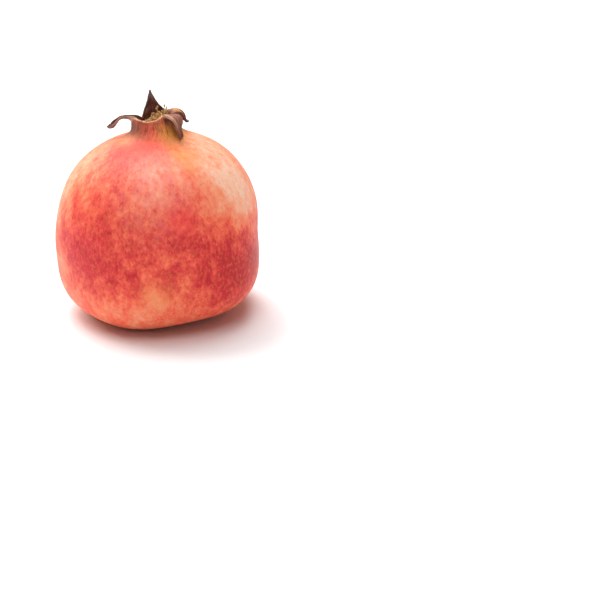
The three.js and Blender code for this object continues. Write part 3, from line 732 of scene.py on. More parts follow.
# %% Add the rim, the sepals and the cup to the cage
RIM_TOP_STRENGTH = 0.95
rim_points = crown_point(columns, rim_radius(columns) - RIM_WALL, torn_rim(columns))
lip_cover = RIM_TOP_STRENGTH * lip_share(columns)
rim_tint = laid_on(solid_paint("bark brown", rim_points), lip_cover, LIP_PAINT)
inner_rim = add_row(rim_points, columns, rim_way + RIM_WALL, tint=rim_tint)
for number, sepal in enumerate(SEPALS):
    span = [(number * CELLS_PER_SEPAL + i) % len(columns) for i in range(CELLS_PER_SEPAL + 1)]
    roots = [outer_rim[i] for i in span], [inner_rim[i] for i in span]
    if sepal["length"]:
        add_blade(sepal, *roots)
    else:
        join(*roots, closed=False)
add_cup(inner_rim)
print("cage:", len(cage["points"]), "vertices,", len(cage["faces"]), "faces")

# %% [markdown]
# The cage becomes a mesh, with its traits as attributes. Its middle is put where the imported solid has
# it, and its place stays in the mesh while the object sits at the origin.

# %% Make the cage a mesh
node_low, node_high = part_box("fruit")
low, high = np.min(cage["points"], 0), np.max(cage["points"], 0)
SHIFT = (np.array(node_low + node_high) / 2 / MM - (low + high) / 2) * (1, 1, 0)


def mesh_from_cage():
    mesh = bpy.data.meshes.new("fruit_skin")
    mesh.from_pydata(((np.array(cage["points"]) + SHIFT) * MM).tolist(), [], cage["faces"])
    for trait, kind in TRAITS.items():
        attribute = mesh.attributes.new(trait, kind, "POINT")
        values = np.array(cage[trait], float)
        if kind == "FLOAT_COLOR":
            attribute.data.foreach_set("color", values.ravel())
        else:
            attribute.data.foreach_set("vector" if kind == "FLOAT_VECTOR" else "value", values.ravel())
    mesh.shade_smooth()
    mesh.update()
    return mesh


def linked(name, mesh):
    made = bpy.data.objects.new(name, mesh)
    bpy.context.scene.collection.objects.link(made)
    return made


fruit_skin = linked("fruit_skin", mesh_from_cage())
packed_size = np.array(node_high - node_low) / MM
print("cage moved by", SHIFT.round(2), "mm; packed fruit", packed_size.round(1), "mm")

# %% [markdown]
# One small function adds a node with its settings and its inputs, which come in the order of the node's
# sockets or, where some are left out, by name or number. An input is a plain value, a node, whose first
# output is then linked, or one of a node's other outputs. Materials and Geometry Nodes both use it.

# %% Helper that adds a node


def add(tree, kind, *inputs, **settings):
    node = tree.nodes.new(kind)
    for name, value in settings.items():
        setattr(node, name, value)
    named = inputs and isinstance(inputs[0], dict)
    for socket, value in inputs[0].items() if named else enumerate(inputs):
        if isinstance(value, bpy.types.Node):
            value = value.outputs[0]
        if isinstance(value, bpy.types.NodeSocket):
            tree.links.new(value, node.inputs[socket])
        else:
            node.inputs[socket].default_value = value
    return node


def new_tree(name, **inputs):
    """A Geometry Nodes tree, and its inputs: the geometry, and others by the kind of their sockets."""
    tree = bpy.data.node_groups.new(name, "GeometryNodeTree")
    tree.interface.new_socket("Geometry", in_out="OUTPUT", socket_type="NodeSocketGeometry")
    for kind, names in {"Geometry": ["Geometry"], **inputs}.items():
        for title in names:
            tree.interface.new_socket(title, in_out="INPUT", socket_type="NodeSocket" + kind)
    return tree, add(tree, "NodeGroupInput").outputs


def dressed(made, tree, values):
    """Adds the tree as a modifier and sets its inputs by the identifiers of their sockets."""
    modifier = made.modifiers.new(tree.name, "NODES")
    modifier.node_group = tree
    for item in tree.interface.items_tree:
        if item.in_out == "INPUT" and item.name in values:
            modifier[item.identifier] = values[item.name]


def applied(made):
    """Turns what the modifiers make into the object's own plain mesh."""
    bpy.context.view_layer.update()
    shown = made.evaluated_get(bpy.context.evaluated_depsgraph_get())
    mesh = bpy.data.meshes.new_from_object(shown)
    made.modifiers.clear()
    made.data = mesh
    mesh.calc_loop_triangles()
    return len(mesh.loop_triangles)


print("helpers:", ", ".join(helper.__name__ for helper in (add, new_tree, dressed, applied)))

# %% [markdown]
# A real rind isn't smooth. It has soft dents where it shrank over the seed chambers, finer pitting
# between them, and where it has dried, on the neck and the sepals, it shrinks into ribs along its
# grain. Those are forms, not colours, so a Geometry Nodes tree moves the skin itself along its normals.
# Each kind of relief is a noise at its real size, and the relief attribute keeps the resting spot flat.

# %% Geometry Nodes tree for the rind's relief
NOISE_SPAN = (0.25, 0.75)  # most of a noise lies in it
relief_tree, sizes = new_tree(
    "rind relief", Float=["Dent size", "Dent depth", "Pit size", "Pit depth", "Rib size", "Rib depth"])
place = add(relief_tree, "GeometryNodeInputPosition")
grain = add(relief_tree, "GeometryNodeInputNamedAttribute", {"Name": "grain"}, data_type="FLOAT_VECTOR")
dried = add(relief_tree, "GeometryNodeInputNamedAttribute", {"Name": "dry"}, data_type="FLOAT")
free = add(relief_tree, "GeometryNodeInputNamedAttribute", {"Name": "relief"}, data_type="FLOAT")
reliefs = []
for form, coordinates, stretch, detail in (
        ("Dent", place, (1, 1, 0.6), 1.0),
        ("Pit", place, (1, 1, 1), 2.0),
        ("Rib", grain, (1, 1, 0.18), 2.0)):
    size, depth = sizes[f"{form} size"], sizes[f"{form} depth"]
    stretched = add(relief_tree, "ShaderNodeVectorMath", coordinates, stretch, operation="MULTIPLY")
    scaled = add(relief_tree, "ShaderNodeVectorMath", stretched, size, operation="DIVIDE")
    texture = add(relief_tree, "ShaderNodeTexNoise", {"Vector": scaled, "Scale": 1.0, "Detail": detail})
    swing = add(relief_tree, "ShaderNodeMapRange", texture, *NOISE_SPAN, -1.0, 1.0)
    reliefs.append(add(relief_tree, "ShaderNodeMath", swing, depth, operation="MULTIPLY"))
dents, pits, ribs = reliefs
dry_ribs = add(relief_tree, "ShaderNodeMath", ribs, dried, operation="MULTIPLY")
dents_and_pits = add(relief_tree, "ShaderNodeMath", dents, pits)
rise = add(relief_tree, "ShaderNodeMath", dents_and_pits, dry_ribs)
moved = add(relief_tree, "ShaderNodeMath", rise, free, operation="MULTIPLY")
normal = add(relief_tree, "GeometryNodeInputNormal")
offset = add(relief_tree, "ShaderNodeVectorMath", {0: normal, "Scale": moved}, operation="SCALE")
raised = add(relief_tree, "GeometryNodeSetPosition", {"Geometry": sizes["Geometry"], "Offset": offset})
add(relief_tree, "NodeGroupOutput", raised)
print("relief tree:", len(relief_tree.nodes), "nodes")

# %% Round off the cage and raise the relief
subdivision = fruit_skin.modifiers.new("rounding", "SUBSURF")
subdivision.levels = subdivision.render_levels = 1
dressed(fruit_skin, relief_tree, {
    "Dent size": 14 * MM, "Dent depth": 0.12 * MM, "Pit size": 3 * MM, "Pit depth": 0.035 * MM,
    "Rib size": 1.1, "Rib depth": 0.13 * MM,  # this size is in millimetres, as the grain is
})
print("fruit_skin:", applied(fruit_skin), "triangles")

# %% [markdown]
# The tuft is what is left of the flower's stamens: a matted pad, and a few hundred thin filaments that
# have dried, curled and tangled, each with its anther on the end. A rule describes them well, so they
# are made by Geometry Nodes: points spread over the pad, a line on each point, each line bent by a
# noise and thickened to a tube. The tuft is short on the left and tall on the right. Two stamens
# stand clear of it, so their lines are drawn one by one. It all happens in the crown's frame and is moved
# to its place at the end.

# %% Pad of the tuft
PAD_GAP = 0.35
PAD_OUTLINE = [  # share of its widest radius, height over its foot
    (0, 0), (0.5, 0), (0.8, 0.35), (0.97, 1.7), (1, 3), (0.97, 3.5), (0.88, 3.85), (0.72, 4.1), (0.5, 4.3),
    (0.3, 4.4), (0.15, 4.45), (0, 4.5),
]
PAD_SIDES = 48
PAD_LUMP = 0.45
PAD_LUMP_SIZE = 1.6
PAD_TOP = (3, 4.1)  # over its foot, where its top starts and where it is all top
PAD_SLOPE = 1.9
PAD_SLOPE_HEIGHTS = (1.5, 4)
TALL_AZIMUTH = 15
CLEAR_STAMENS = [  # points in the crown's frame, from foot to tip
    [(3.9, 3.7, -4.8), (4.6, 4.2, 0.3), (5.1, 4.5, 3.9)],
    [(0.9, 4.2, -4.6), (1.7, 5.0, -0.4), (2.0, 5.1, 3.2)],
]
CLEAR_STEPS = 8


def turned_profile(outline, sides):
    """Points and faces of a profile turned round Z. The profile starts and ends on the axis."""
    turns = np.arange(sides) * 360 / sides
    points = [np.array([0, 0, outline[0][1]])]
    faces = []
    for radius, height in outline[1:-1]:
        points.extend(direction(turns, 0) * radius + UP * height)
    points.append(np.array([0, 0, outline[-1][1]]))
    for i in range(sides):
        j = (i + 1) % sides
        faces.append((0, 1 + j, 1 + i))
        for k in range(len(outline) - 3):
            low, high = 1 + k * sides, 1 + (k + 1) * sides
            faces.append((low + i, low + j, high + j, high + i))
        faces.append((len(points) - 1, len(points) - 1 - sides + i, len(points) - 1 - sides + j))
    return np.array(points), faces


def pad_mesh():
    """The pad, lower on its trodden side, and the lines of the clear stamens as loose edges."""
    foot = PAD_GAP - CUP_DEPTH
    reach = CUP_RADIUS - PAD_GAP
    outline = [(share * reach, foot + height) for share, height in PAD_OUTLINE]
    points, faces = turned_profile(outline, PAD_SIDES)
    top = fade(points[:, 2] - foot, *PAD_TOP)
    lumps = np.array([noise.noise(Vector(point) / PAD_LUMP_SIZE) for point in points])
    trodden = (1 - points @ direction(TALL_AZIMUTH, 0) / reach) / 2
    slope = PAD_SLOPE * trodden * fade(points[:, 2] - foot, *PAD_SLOPE_HEIGHTS)
    points[:, 2] += PAD_LUMP * lumps * top - slope
    shares = np.arange(CLEAR_STEPS + 1) / CLEAR_STEPS
    edges = []
    for stamen in CLEAR_STAMENS:
        first = len(points)
        points = np.vstack([points, np.stack([along(axis, shares) for axis in zip(*stamen)], -1)])
        edges += [(first + i, first + i + 1) for i in range(CLEAR_STEPS)]
    mesh = bpy.data.meshes.new("stamen_tuft")
    mesh.from_pydata((points * MM).tolist(), edges, faces)
    clear = (np.arange(len(points)) >= len(top)).astype(float)
    top = np.append(top, np.zeros(len(points) - len(top)))
    for name, values in (("clear", clear), ("top", top)):
        mesh.attributes.new(name, "FLOAT", "POINT").data.foreach_set("value", values)
    mesh.shade_smooth()
    return mesh


stamen_tuft = linked("stamen_tuft", pad_mesh())
print("pad", round(2 * (CUP_RADIUS - PAD_GAP), 1), "mm across,", len(CLEAR_STAMENS), "clear stamens")

# %% Geometry Nodes tree for the filaments and anthers
TALL_RANGE = (-0.1, 0.9)  # towards the tall side, where the tuft starts to rise and where it is full
FILAMENT_ROOT = 0.3  # how far it starts in the pad, as a share of its length
FILAMENT_POINTS = 9
MOST_TILT = 0.75
GROWTH = (0.55, 1.1)
tuft_tree, tuft = new_tree(
    "stamen tuft", Vector=["Crown place", "Tall side"], Int=["Seed"], Material=["Material"],
    Float=["Filaments per m2", "Filament length", "Filament radius", "Curl", "Curl size", "Anther length",
           "Reach", "Low side share", "Crown lean"])
seeds = [add(tuft_tree, "ShaderNodeMath", tuft["Seed"], float(number)) for number in range(4)]
clear = add(tuft_tree, "GeometryNodeInputNamedAttribute", {"Name": "clear"}, data_type="FLOAT")
parted = add(tuft_tree, "GeometryNodeSeparateGeometry",
             {"Geometry": tuft["Geometry"], "Selection": clear}).outputs
spot = add(tuft_tree, "GeometryNodeInputPosition")
in_reach = add(tuft_tree, "ShaderNodeVectorMath", spot, tuft["Reach"], operation="DIVIDE")
tallness = add(tuft_tree, "ShaderNodeVectorMath", in_reach, tuft["Tall side"],
               operation="DOT_PRODUCT").outputs["Value"]
side_share = add(tuft_tree, "ShaderNodeMapRange", tallness, *TALL_RANGE, tuft["Low side share"], 1.0)
on_top = add(tuft_tree, "GeometryNodeInputNamedAttribute", {"Name": "top"}, data_type="FLOAT")
density = add(tuft_tree, "ShaderNodeMath", tuft["Filaments per m2"], on_top, operation="MULTIPLY")
feet = add(tuft_tree, "GeometryNodeDistributePointsOnFaces",
           {"Mesh": parted["Inverted"], "Density": density, "Seed": tuft["Seed"]})
line = add(tuft_tree, "GeometryNodeCurvePrimitiveLine", {"Start": (0, 0, -FILAMENT_ROOT), "End": (0, 0, 1)})
thread = add(tuft_tree, "GeometryNodeResampleCurve", {"Curve": line, "Count": FILAMENT_POINTS})
tilt = add(tuft_tree, "FunctionNodeRandomValue",
           {0: (-MOST_TILT, -MOST_TILT, 0), 1: (MOST_TILT, MOST_TILT, 2 * math.pi), "Seed": seeds[0]},
           data_type="FLOAT_VECTOR")
growth = add(tuft_tree, "FunctionNodeRandomValue", {2: GROWTH[0], 3: GROWTH[1], "Seed": seeds[1]}).outputs[1]
full_length = add(tuft_tree, "ShaderNodeMath", tuft["Filament length"], side_share, operation="MULTIPLY")
length = add(tuft_tree, "ShaderNodeMath", full_length, growth, operation="MULTIPLY")
threads = add(tuft_tree, "GeometryNodeInstanceOnPoints",
              {"Points": feet, "Instance": thread, "Rotation": tilt, "Scale": length})
lot = add(tuft_tree, "FunctionNodeRandomValue", {2: 0.0, 3: 1.0, "Seed": seeds[2]}).outputs[1]
marked = add(tuft_tree, "GeometryNodeStoreNamedAttribute",
             {"Geometry": threads, "Name": "lot", "Value": lot}, data_type="FLOAT", domain="INSTANCE")
loose = add(tuft_tree, "GeometryNodeRealizeInstances", {"Geometry": marked})
print("tuft tree so far:", len(tuft_tree.nodes), "nodes")

# %% Bend the filaments, and keep them in the cup
BEND_POWER = 1.3
up_thread = add(tuft_tree, "GeometryNodeSplineParameter")
swirl_place = add(tuft_tree, "ShaderNodeVectorMath", spot, tuft["Curl size"], operation="DIVIDE")
swirl = add(tuft_tree, "ShaderNodeTexNoise",
            {"Vector": swirl_place, "Scale": 1.0, "Detail": 1.0}).outputs["Color"]
bend = add(tuft_tree, "ShaderNodeVectorMath", swirl, (0.5, 0.5, 0.5), operation="SUBTRACT")
rising = add(tuft_tree, "ShaderNodeMath", up_thread, BEND_POWER, operation="POWER")
full_curl = add(tuft_tree, "ShaderNodeMath", tuft["Curl"], rising, operation="MULTIPLY")
curl_here = add(tuft_tree, "ShaderNodeMath", full_curl, side_share, operation="MULTIPLY")
bent = add(tuft_tree, "ShaderNodeVectorMath", {0: bend, "Scale": curl_here}, operation="SCALE")
curled = add(tuft_tree, "GeometryNodeSetPosition", {"Geometry": loose, "Offset": bent})
flat_spot = add(tuft_tree, "ShaderNodeVectorMath", spot, (1, 1, 0), operation="MULTIPLY")
from_middle = add(tuft_tree, "ShaderNodeVectorMath", flat_spot, operation="LENGTH").outputs["Value"]
overreach = add(tuft_tree, "ShaderNodeMath", from_middle, tuft["Reach"], operation="DIVIDE")
too_far = add(tuft_tree, "ShaderNodeMath", overreach, 1.0, operation="MAXIMUM")
drawn_in = add(tuft_tree, "ShaderNodeVectorMath", flat_spot, too_far, operation="DIVIDE")
height = add(tuft_tree, "ShaderNodeVectorMath", spot, (0, 0, 1), operation="MULTIPLY")
in_cup = add(tuft_tree, "ShaderNodeVectorMath", drawn_in, height)
kept = add(tuft_tree, "GeometryNodeSetPosition", {"Geometry": curled, "Position": in_cup})
clear_lines = add(tuft_tree, "GeometryNodeMeshToCurve", {"Mesh": parted["Selection"]})
lines = add(tuft_tree, "GeometryNodeJoinGeometry")
for part in (clear_lines, kept):
    tuft_tree.links.new(part.outputs[0], lines.inputs[0])
print("tuft tree so far:", len(tuft_tree.nodes), "nodes")

# %% Thicken the filaments, and set the anthers on them
TAPER = 0.35
ANTHER_SHAPE = (0.55, 0.45, 1.0)
ANTHER_SIZES = (0.7, 1.2)
taper = add(tuft_tree, "ShaderNodeMath", up_thread, -TAPER, 1.0, operation="MULTIPLY_ADD")
tapered = add(tuft_tree, "GeometryNodeSetCurveRadius", {"Curve": lines, "Radius": taper})
section = add(tuft_tree, "GeometryNodeCurvePrimitiveCircle",
              {"Resolution": 5, "Radius": tuft["Filament radius"]})
tubes = add(tuft_tree, "GeometryNodeCurveToMesh",
            {"Curve": tapered, "Profile Curve": section, "Fill Caps": True})
ends = add(tuft_tree, "GeometryNodeCurveEndpointSelection", {"Start Size": 0, "End Size": 1})
facing = add(tuft_tree, "FunctionNodeAlignRotationToVector",
             {"Vector": add(tuft_tree, "GeometryNodeInputTangent")}, axis="Z")
ball = add(tuft_tree, "GeometryNodeMeshUVSphere", {"Segments": 8, "Rings": 5, "Radius": 0.5})
swelling = add(tuft_tree, "FunctionNodeRandomValue",
               {2: ANTHER_SIZES[0], 3: ANTHER_SIZES[1], "Seed": seeds[3]}).outputs[1]
anther_length = add(tuft_tree, "ShaderNodeMath", tuft["Anther length"], swelling, operation="MULTIPLY")
anther_size = add(tuft_tree, "ShaderNodeVectorMath", {0: ANTHER_SHAPE, "Scale": anther_length},
                  operation="SCALE")
heads = add(tuft_tree, "GeometryNodeInstanceOnPoints",
            {"Points": lines, "Selection": ends, "Instance": ball, "Rotation": facing, "Scale": anther_size})
anthers = add(tuft_tree, "GeometryNodeStoreNamedAttribute",
              {"Geometry": heads, "Name": "anther", "Value": 1.0}, data_type="FLOAT", domain="INSTANCE")
together = add(tuft_tree, "GeometryNodeJoinGeometry")
for part in (anthers.outputs[0], tubes.outputs[0], parted["Inverted"]):
    tuft_tree.links.new(part, together.inputs[0])
lean = add(tuft_tree, "ShaderNodeCombineXYZ", {"Y": tuft["Crown lean"]})
placed = add(tuft_tree, "GeometryNodeTransform",
             {"Geometry": together, "Translation": tuft["Crown place"], "Rotation": lean})
real = add(tuft_tree, "GeometryNodeRealizeInstances", {"Geometry": placed})
smooth = add(tuft_tree, "GeometryNodeSetShadeSmooth", {"Geometry": real})
finished = add(tuft_tree, "GeometryNodeSetMaterial", {"Geometry": smooth, "Material": tuft["Material"]})
add(tuft_tree, "NodeGroupOutput", finished)
print("tuft tree:", len(tuft_tree.nodes), "nodes")

# %% [markdown]
# Rind is living plant tissue under a thin natural wax: a leathery, slightly glossy dielectric of about
# IOR 1.45, whose gloss is soft because the surface is finely pitted. Light goes a little way in, which
# softens its shading. Up close the blush is never even. It thickens and thins in blotches of a few
# millimetres and in grains under one, all a little drawn out along the grain and weaker where there is
# little pigment. So noises of those sizes are added to the blush before a colour ramp turns it into
# colour. The paints are uneven on the fresh rind too, and solid where it has dried.

# %% Finish of the rind
RIND_RAMP = ["#FFDCC0", "#FFC8AC", "#FF9A76", "#FA6A50", "#E03A3C", "#C41E2A"]  # palest to deepest blush
MOTTLING = [(7.0, 1.2, 0.26), (2.0, 1.3, 0.19), (0.8, 1.2, 0.09)]  # size, stretch, swing of the blush
MOTTLING_SEEN = (0.2, 0.8)
PIGMENT_RANGE = (0.3, 0.8)  # blush where the mottling is weakest and where it is full
WEAKEST_MOTTLING = 0.6
GOLD_FLECKS = ((1.2, 1.2, 1.6), (3, 8, 1), (0.45, 0.75), (0.0, 0.36))
GOLD = "#F59A48"
BRIGHTNESS = ((0.7, 0.7, 0.9), (7, 4, 2), (0.3, 0.7), (0.95, 1.05))
PAINT_THICKNESS = ((2.4, 2.4, 3.6), (5, 3, 9), (0.35, 0.65), (0.35, 1.3))


def bare_material(name):
    made = bpy.data.materials.new(name)
    made.use_nodes = True
    made.node_tree.nodes.clear()
    return made


def opaque(hex_colour):
    return (*linear(hex_colour), 1)


def pattern(tree, coordinates, size, offset=(0, 0, 0), detail=3.0, roughness=0.6):
    """Noise with features of a size, given for each axis."""
    scale = tuple(1 / axis for axis in size)
    mapped = add(tree, "ShaderNodeMapping", {"Vector": coordinates, "Location": offset, "Scale": scale})
    return add(tree, "ShaderNodeTexNoise",
               {"Vector": mapped, "Scale": 1.0, "Detail": detail, "Roughness": roughness})


def patches(tree, coordinates, size, offset, seen, given, detail=3.0, interpolation="LINEAR"):
    """Such a noise, with the range of it that is seen turned into the range that is given."""
    field = pattern(tree, coordinates, size, offset, detail)
    return add(tree, "ShaderNodeMapRange", field, *seen, *given, interpolation_type=interpolation)


rind = bare_material("waxy pomegranate rind")
paint_box = rind.node_tree
rind_grain = add(paint_box, "ShaderNodeAttribute", attribute_name="grain").outputs["Vector"]
rind_dry = add(paint_box, "ShaderNodeAttribute", attribute_name="dry").outputs["Fac"]
rind_tint = add(paint_box, "ShaderNodeAttribute", attribute_name="tint").outputs
full_blush = add(paint_box, "ShaderNodeAttribute", attribute_name="blush").outputs["Fac"]
unevenness = add(paint_box, "ShaderNodeMapRange", full_blush, *PIGMENT_RANGE, WEAKEST_MOTTLING, 1.0)
blush = full_blush
for size, stretch, swing in MOTTLING:
    swung = patches(paint_box, rind_grain, (size, size, stretch * size), (size, 2 * size, 5),
                    MOTTLING_SEEN, (-swing, swing))
    blush = add(paint_box, "ShaderNodeMath", swung, unevenness, blush, operation="MULTIPLY_ADD")
ramp_node = add(paint_box, "ShaderNodeValToRGB", {"Fac": blush})
ramp = ramp_node.color_ramp
for step in range(1, len(RIND_RAMP) - 1):
    ramp.elements.new(step / (len(RIND_RAMP) - 1))
for element, hex_colour in zip(ramp.elements, RIND_RAMP):
    element.color = opaque(hex_colour)
gold_weight = patches(paint_box, rind_grain, *GOLD_FLECKS, interpolation="SMOOTHSTEP")
gilded = add(paint_box, "ShaderNodeMix", {0: gold_weight, 6: ramp_node, 7: opaque(GOLD)},
             data_type="RGBA").outputs[2]
bright = patches(paint_box, rind_grain, *BRIGHTNESS)
grey = add(paint_box, "ShaderNodeCombineColor", bright, bright, bright)
lively = add(paint_box, "ShaderNodeMix", {0: 1.0, 6: gilded, 7: grey}, data_type="RGBA",
             blend_type="MULTIPLY").outputs[2]
thickness = patches(paint_box, rind_grain, *PAINT_THICKNESS)
painted = rind_tint["Alpha"]
fresh_cover = add(paint_box, "ShaderNodeMath", painted, thickness, operation="MULTIPLY")
cover = add(paint_box, "ShaderNodeMix", {0: rind_dry, 2: fresh_cover, 3: painted}, data_type="FLOAT")
colour = add(paint_box, "ShaderNodeMix", {0: cover, 6: lively, 7: rind_tint["Color"]},
             data_type="RGBA").outputs[2]
print("rind: mottling of", [size for size, stretch, swing in MOTTLING], "mm")

# %% [markdown]
# Where the rind has dried, dark streaks and fibres run along its grain, with worn pale spots between
# them. The grain's circle is about twice as wide as the neck, so a size of two in it is one millimetre
# there. Lenticels, the breathing pores, are dark dots that only the fresh rind shows.

# %% Dried parts, lenticels and the surface of the rind
STAINS = [  # size along the grain's axes, offset, seen range of the noise, range of strength, colour
    ((2.6, 2.6, 9.0), (2, 9, 4), (0.44, 0.62), (0.0, 0.55), "#5E2C22"),
    ((1.1, 1.1, 6.0), (4, 1, 7), (0.45, 0.68), (0.0, 0.4), "#3A2020"),
    ((3.0, 3.0, 4.0), (8, 1, 2), (0.52, 0.70), (0.0, 0.35), "#D8A47C"),
]
LENTICEL_SPACING = 3.2
LENTICEL_EDGE = (0.06, 0.12)
LENTICEL_STRENGTH = 0.3
LENTICEL_BROWN = "#8E3A22"
FIBRE_HEIGHT = 4.0
PITTING_SEEN = (0.3, 0.7)
FRESH_ROUGHNESS = (0.42, 0.54)
DRY_ROUGHNESS = 0.3  # on top of that of the fresh rind
for *stain, hex_colour in STAINS:
    shown = patches(paint_box, rind_grain, *stain, detail=4.0, interpolation="SMOOTHSTEP")
    on_dry = add(paint_box, "ShaderNodeMath", shown, rind_dry, operation="MULTIPLY")
    colour = add(paint_box, "ShaderNodeMix", {0: on_dry, 6: colour, 7: opaque(hex_colour)},
                 data_type="RGBA").outputs[2]
cells = add(paint_box, "ShaderNodeMapping", {"Vector": rind_grain, "Scale": (1 / LENTICEL_SPACING,) * 3})
dots = add(paint_box, "ShaderNodeTexVoronoi", {"Vector": cells, "Scale": 1.0, "Randomness": 1.0})
pores = add(paint_box, "ShaderNodeMapRange", dots.outputs["Distance"], *LENTICEL_EDGE,
            LENTICEL_STRENGTH, 0.0, interpolation_type="SMOOTHSTEP")
fresh = add(paint_box, "ShaderNodeMath", 1.0, rind_dry, operation="SUBTRACT")
lenticels = add(paint_box, "ShaderNodeMath", pores, fresh, operation="MULTIPLY")
colour = add(paint_box, "ShaderNodeMix", {0: lenticels, 6: colour, 7: opaque(LENTICEL_BROWN)},
             data_type="RGBA").outputs[2]

pitting = pattern(paint_box, rind_grain, (0.9, 0.9, 1.1), detail=4.0, roughness=0.55)
fibres = pattern(paint_box, rind_grain, *STAINS[1][:2], detail=4.0)
crinkle = add(paint_box, "ShaderNodeMath", fibres, rind_dry, operation="MULTIPLY")
surface = add(paint_box, "ShaderNodeMath", crinkle, FIBRE_HEIGHT, pitting, operation="MULTIPLY_ADD")
dotted = add(paint_box, "ShaderNodeMath", surface, lenticels, operation="SUBTRACT")
bump = add(paint_box, "ShaderNodeBump", {"Strength": 0.5, "Distance": 0.05 * MM, "Height": dotted})
fresh_gloss = add(paint_box, "ShaderNodeMapRange", pitting, *PITTING_SEEN, *FRESH_ROUGHNESS)
dull = add(paint_box, "ShaderNodeMath", rind_dry, DRY_ROUGHNESS, fresh_gloss, operation="MULTIPLY_ADD")
shader = add(paint_box, "ShaderNodeBsdfPrincipled", {
    "Base Color": colour, "Roughness": dull, "Normal": bump, "IOR": 1.45, "Specular IOR Level": 0.22,
    "Subsurface Weight": 0.08, "Subsurface Radius": (1.0, 0.3, 0.15), "Subsurface Scale": 0.8 * MM,
})
add(paint_box, "ShaderNodeOutputMaterial", {"Surface": shader})
fruit_skin.data.materials.clear()
fruit_skin.data.materials.append(rind)
print("rind material:", len(paint_box.nodes), "nodes")

# %% [markdown]
# Dried filaments are dead plant fibre: matt, golden straw, some darker than others. The anthers are a
# little paler. The colour of each filament comes from the lot number that the tree drew for it.

# %% Finish of the stamens
STRAW = "#D8AC6C"
DARK_STRAW = "#A0743C"
STRAW_STAIN = "#5B3320"
ANTHER_STRAW = "#DDB078"
ANTHER_PALENESS = 0.6
STAIN_SIZE = 1.2 * MM
STRAW_STAIN_RANGES = (0.5, 0.7, 0.0, 0.6)  # seen range of the noise, range of strength
dried_stamens = bare_material("dried stamen fibre")
straw = dried_stamens.node_tree
straw_place = add(straw, "ShaderNodeTexCoord").outputs["Object"]
straw_lot = add(straw, "ShaderNodeAttribute", attribute_name="lot").outputs["Fac"]
straw_anther = add(straw, "ShaderNodeAttribute", attribute_name="anther").outputs["Fac"]
straw_stains = pattern(straw, straw_place, (STAIN_SIZE,) * 3, detail=4.0)
stained = add(straw, "ShaderNodeMapRange", straw_stains, *STRAW_STAIN_RANGES,
              interpolation_type="SMOOTHSTEP")
pale_anther = add(straw, "ShaderNodeMath", straw_anther, ANTHER_PALENESS, operation="MULTIPLY")
straw_colour = opaque(STRAW)
for weight, hex_colour in ((straw_lot, DARK_STRAW), (stained, STRAW_STAIN), (pale_anther, ANTHER_STRAW)):
    straw_colour = add(straw, "ShaderNodeMix", {0: weight, 6: straw_colour, 7: opaque(hex_colour)},
                       data_type="RGBA").outputs[2]
straw_bump = add(straw, "ShaderNodeBump", {"Strength": 0.6, "Distance": 0.05 * MM, "Height": straw_stains})
straw_shader = add(straw, "ShaderNodeBsdfPrincipled",
                   {"Base Color": straw_colour, "Roughness": 0.8, "Normal": straw_bump, "IOR": 1.5})
add(straw, "ShaderNodeOutputMaterial", {"Surface": straw_shader})
print("stamen material:", len(straw.nodes), "nodes")

# %% Grow the tuft
CUP_WALL_GAP = 0.8
crown_place = (CROWN_ORIGIN + SHIFT) * MM
dressed(stamen_tuft, tuft_tree, {
    "Filaments per m2": 3.0e6, "Filament length": 7.0 * MM, "Filament radius": 0.14 * MM, "Curl": 5.0 * MM,
    "Curl size": 2.6 * MM, "Anther length": 1.3 * MM, "Reach": (CUP_RADIUS - CUP_WALL_GAP) * MM,
    "Low side share": 0.3, "Tall side": direction(TALL_AZIMUTH, 0).tolist(), "Seed": 11,
    "Crown place": crown_place.tolist(), "Crown lean": -math.radians(CROWN_LEAN), "Material": dried_stamens,
})
print("stamen_tuft:", applied(stamen_tuft), "triangles")

# %% [markdown]
# The two pieces take the place of the imported nodes and ride on the fruit's one body.

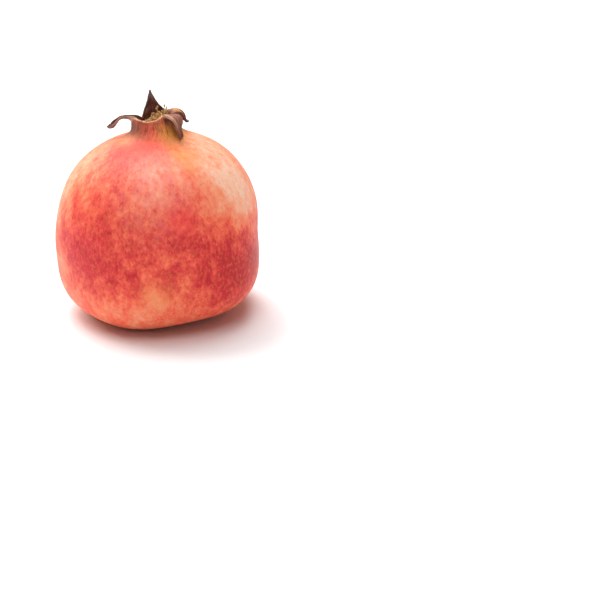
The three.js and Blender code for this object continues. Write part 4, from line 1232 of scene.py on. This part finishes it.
# %% Hand the pieces to the frame
for piece, node, slot in ((fruit_skin, "fruit", "rind"), (stamen_tuft, "stamens", "dried_stamens")):
    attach(piece, "root")
    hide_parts(node)
    print(piece.name, "stands for", node)

# %% [markdown]
# The setting is a white table in a pale room, lit so brightly that it burns out to white. Most of the
# light comes from behind, from halfway up on the left and from high up in the middle, which puts the
# dark and narrow shadow in front of the fruit. A weaker lamp overhead gives the pale gloss on its
# shoulder, along with a painted highlight in the rind's colour. Sun lamps with very wide discs light the
# whole table evenly, where area lamps would fade with distance.

# %% Floor, light and colour management
FLOOR_HALF = 8.0
LAMPS = [  # name, direction that it shines from, strength, width of its disc in degrees
    ("back left lamp", (-0.70, 0.70, 1.0), 2.5, 50),
    ("back lamp", (-0.08, 0.36, 1.0), 2.3, 50),
    ("overhead lamp", (0.05, -0.35, 1.0), 0.86, 36),
]
ROOM_LIGHT = 0.17
CARD_WHITE = 0.93
corners = [(x * FLOOR_HALF, y * FLOOR_HALF, 0) for x, y in ((-1, -1), (1, -1), (1, 1), (-1, 1))]
floor_mesh = bpy.data.meshes.new("floor")
floor_mesh.from_pydata(corners, [], [(0, 1, 2, 3)])
floor = linked("floor", floor_mesh)
white_card = bpy.data.materials.new("matt white card")
white_card.use_nodes = True
card_shader = white_card.node_tree.nodes["Principled BSDF"]
card_shader.inputs["Base Color"].default_value = (CARD_WHITE, CARD_WHITE, CARD_WHITE, 1)
card_shader.inputs["Roughness"].default_value = 0.9
card_shader.inputs["Specular IOR Level"].default_value = 0.0
floor_mesh.materials.append(white_card)

room = bpy.data.worlds.new("white room")
room.use_nodes = True
room.node_tree.nodes["Background"].inputs["Color"].default_value = (1, 1, 1, 1)
room.node_tree.nodes["Background"].inputs["Strength"].default_value = ROOM_LIGHT
bpy.context.scene.world = room

for name, shines_from, strength, disc in LAMPS:
    lamp = bpy.data.lights.new(name, "SUN")
    lamp.energy = strength
    lamp.angle = math.radians(disc)
    linked(name, lamp).rotation_euler = Vector(shines_from).to_track_quat("Z", "Y").to_euler()
bpy.context.scene.view_settings.view_transform = "Standard"
print(len(LAMPS), "lamps, room light", ROOM_LIGHT)
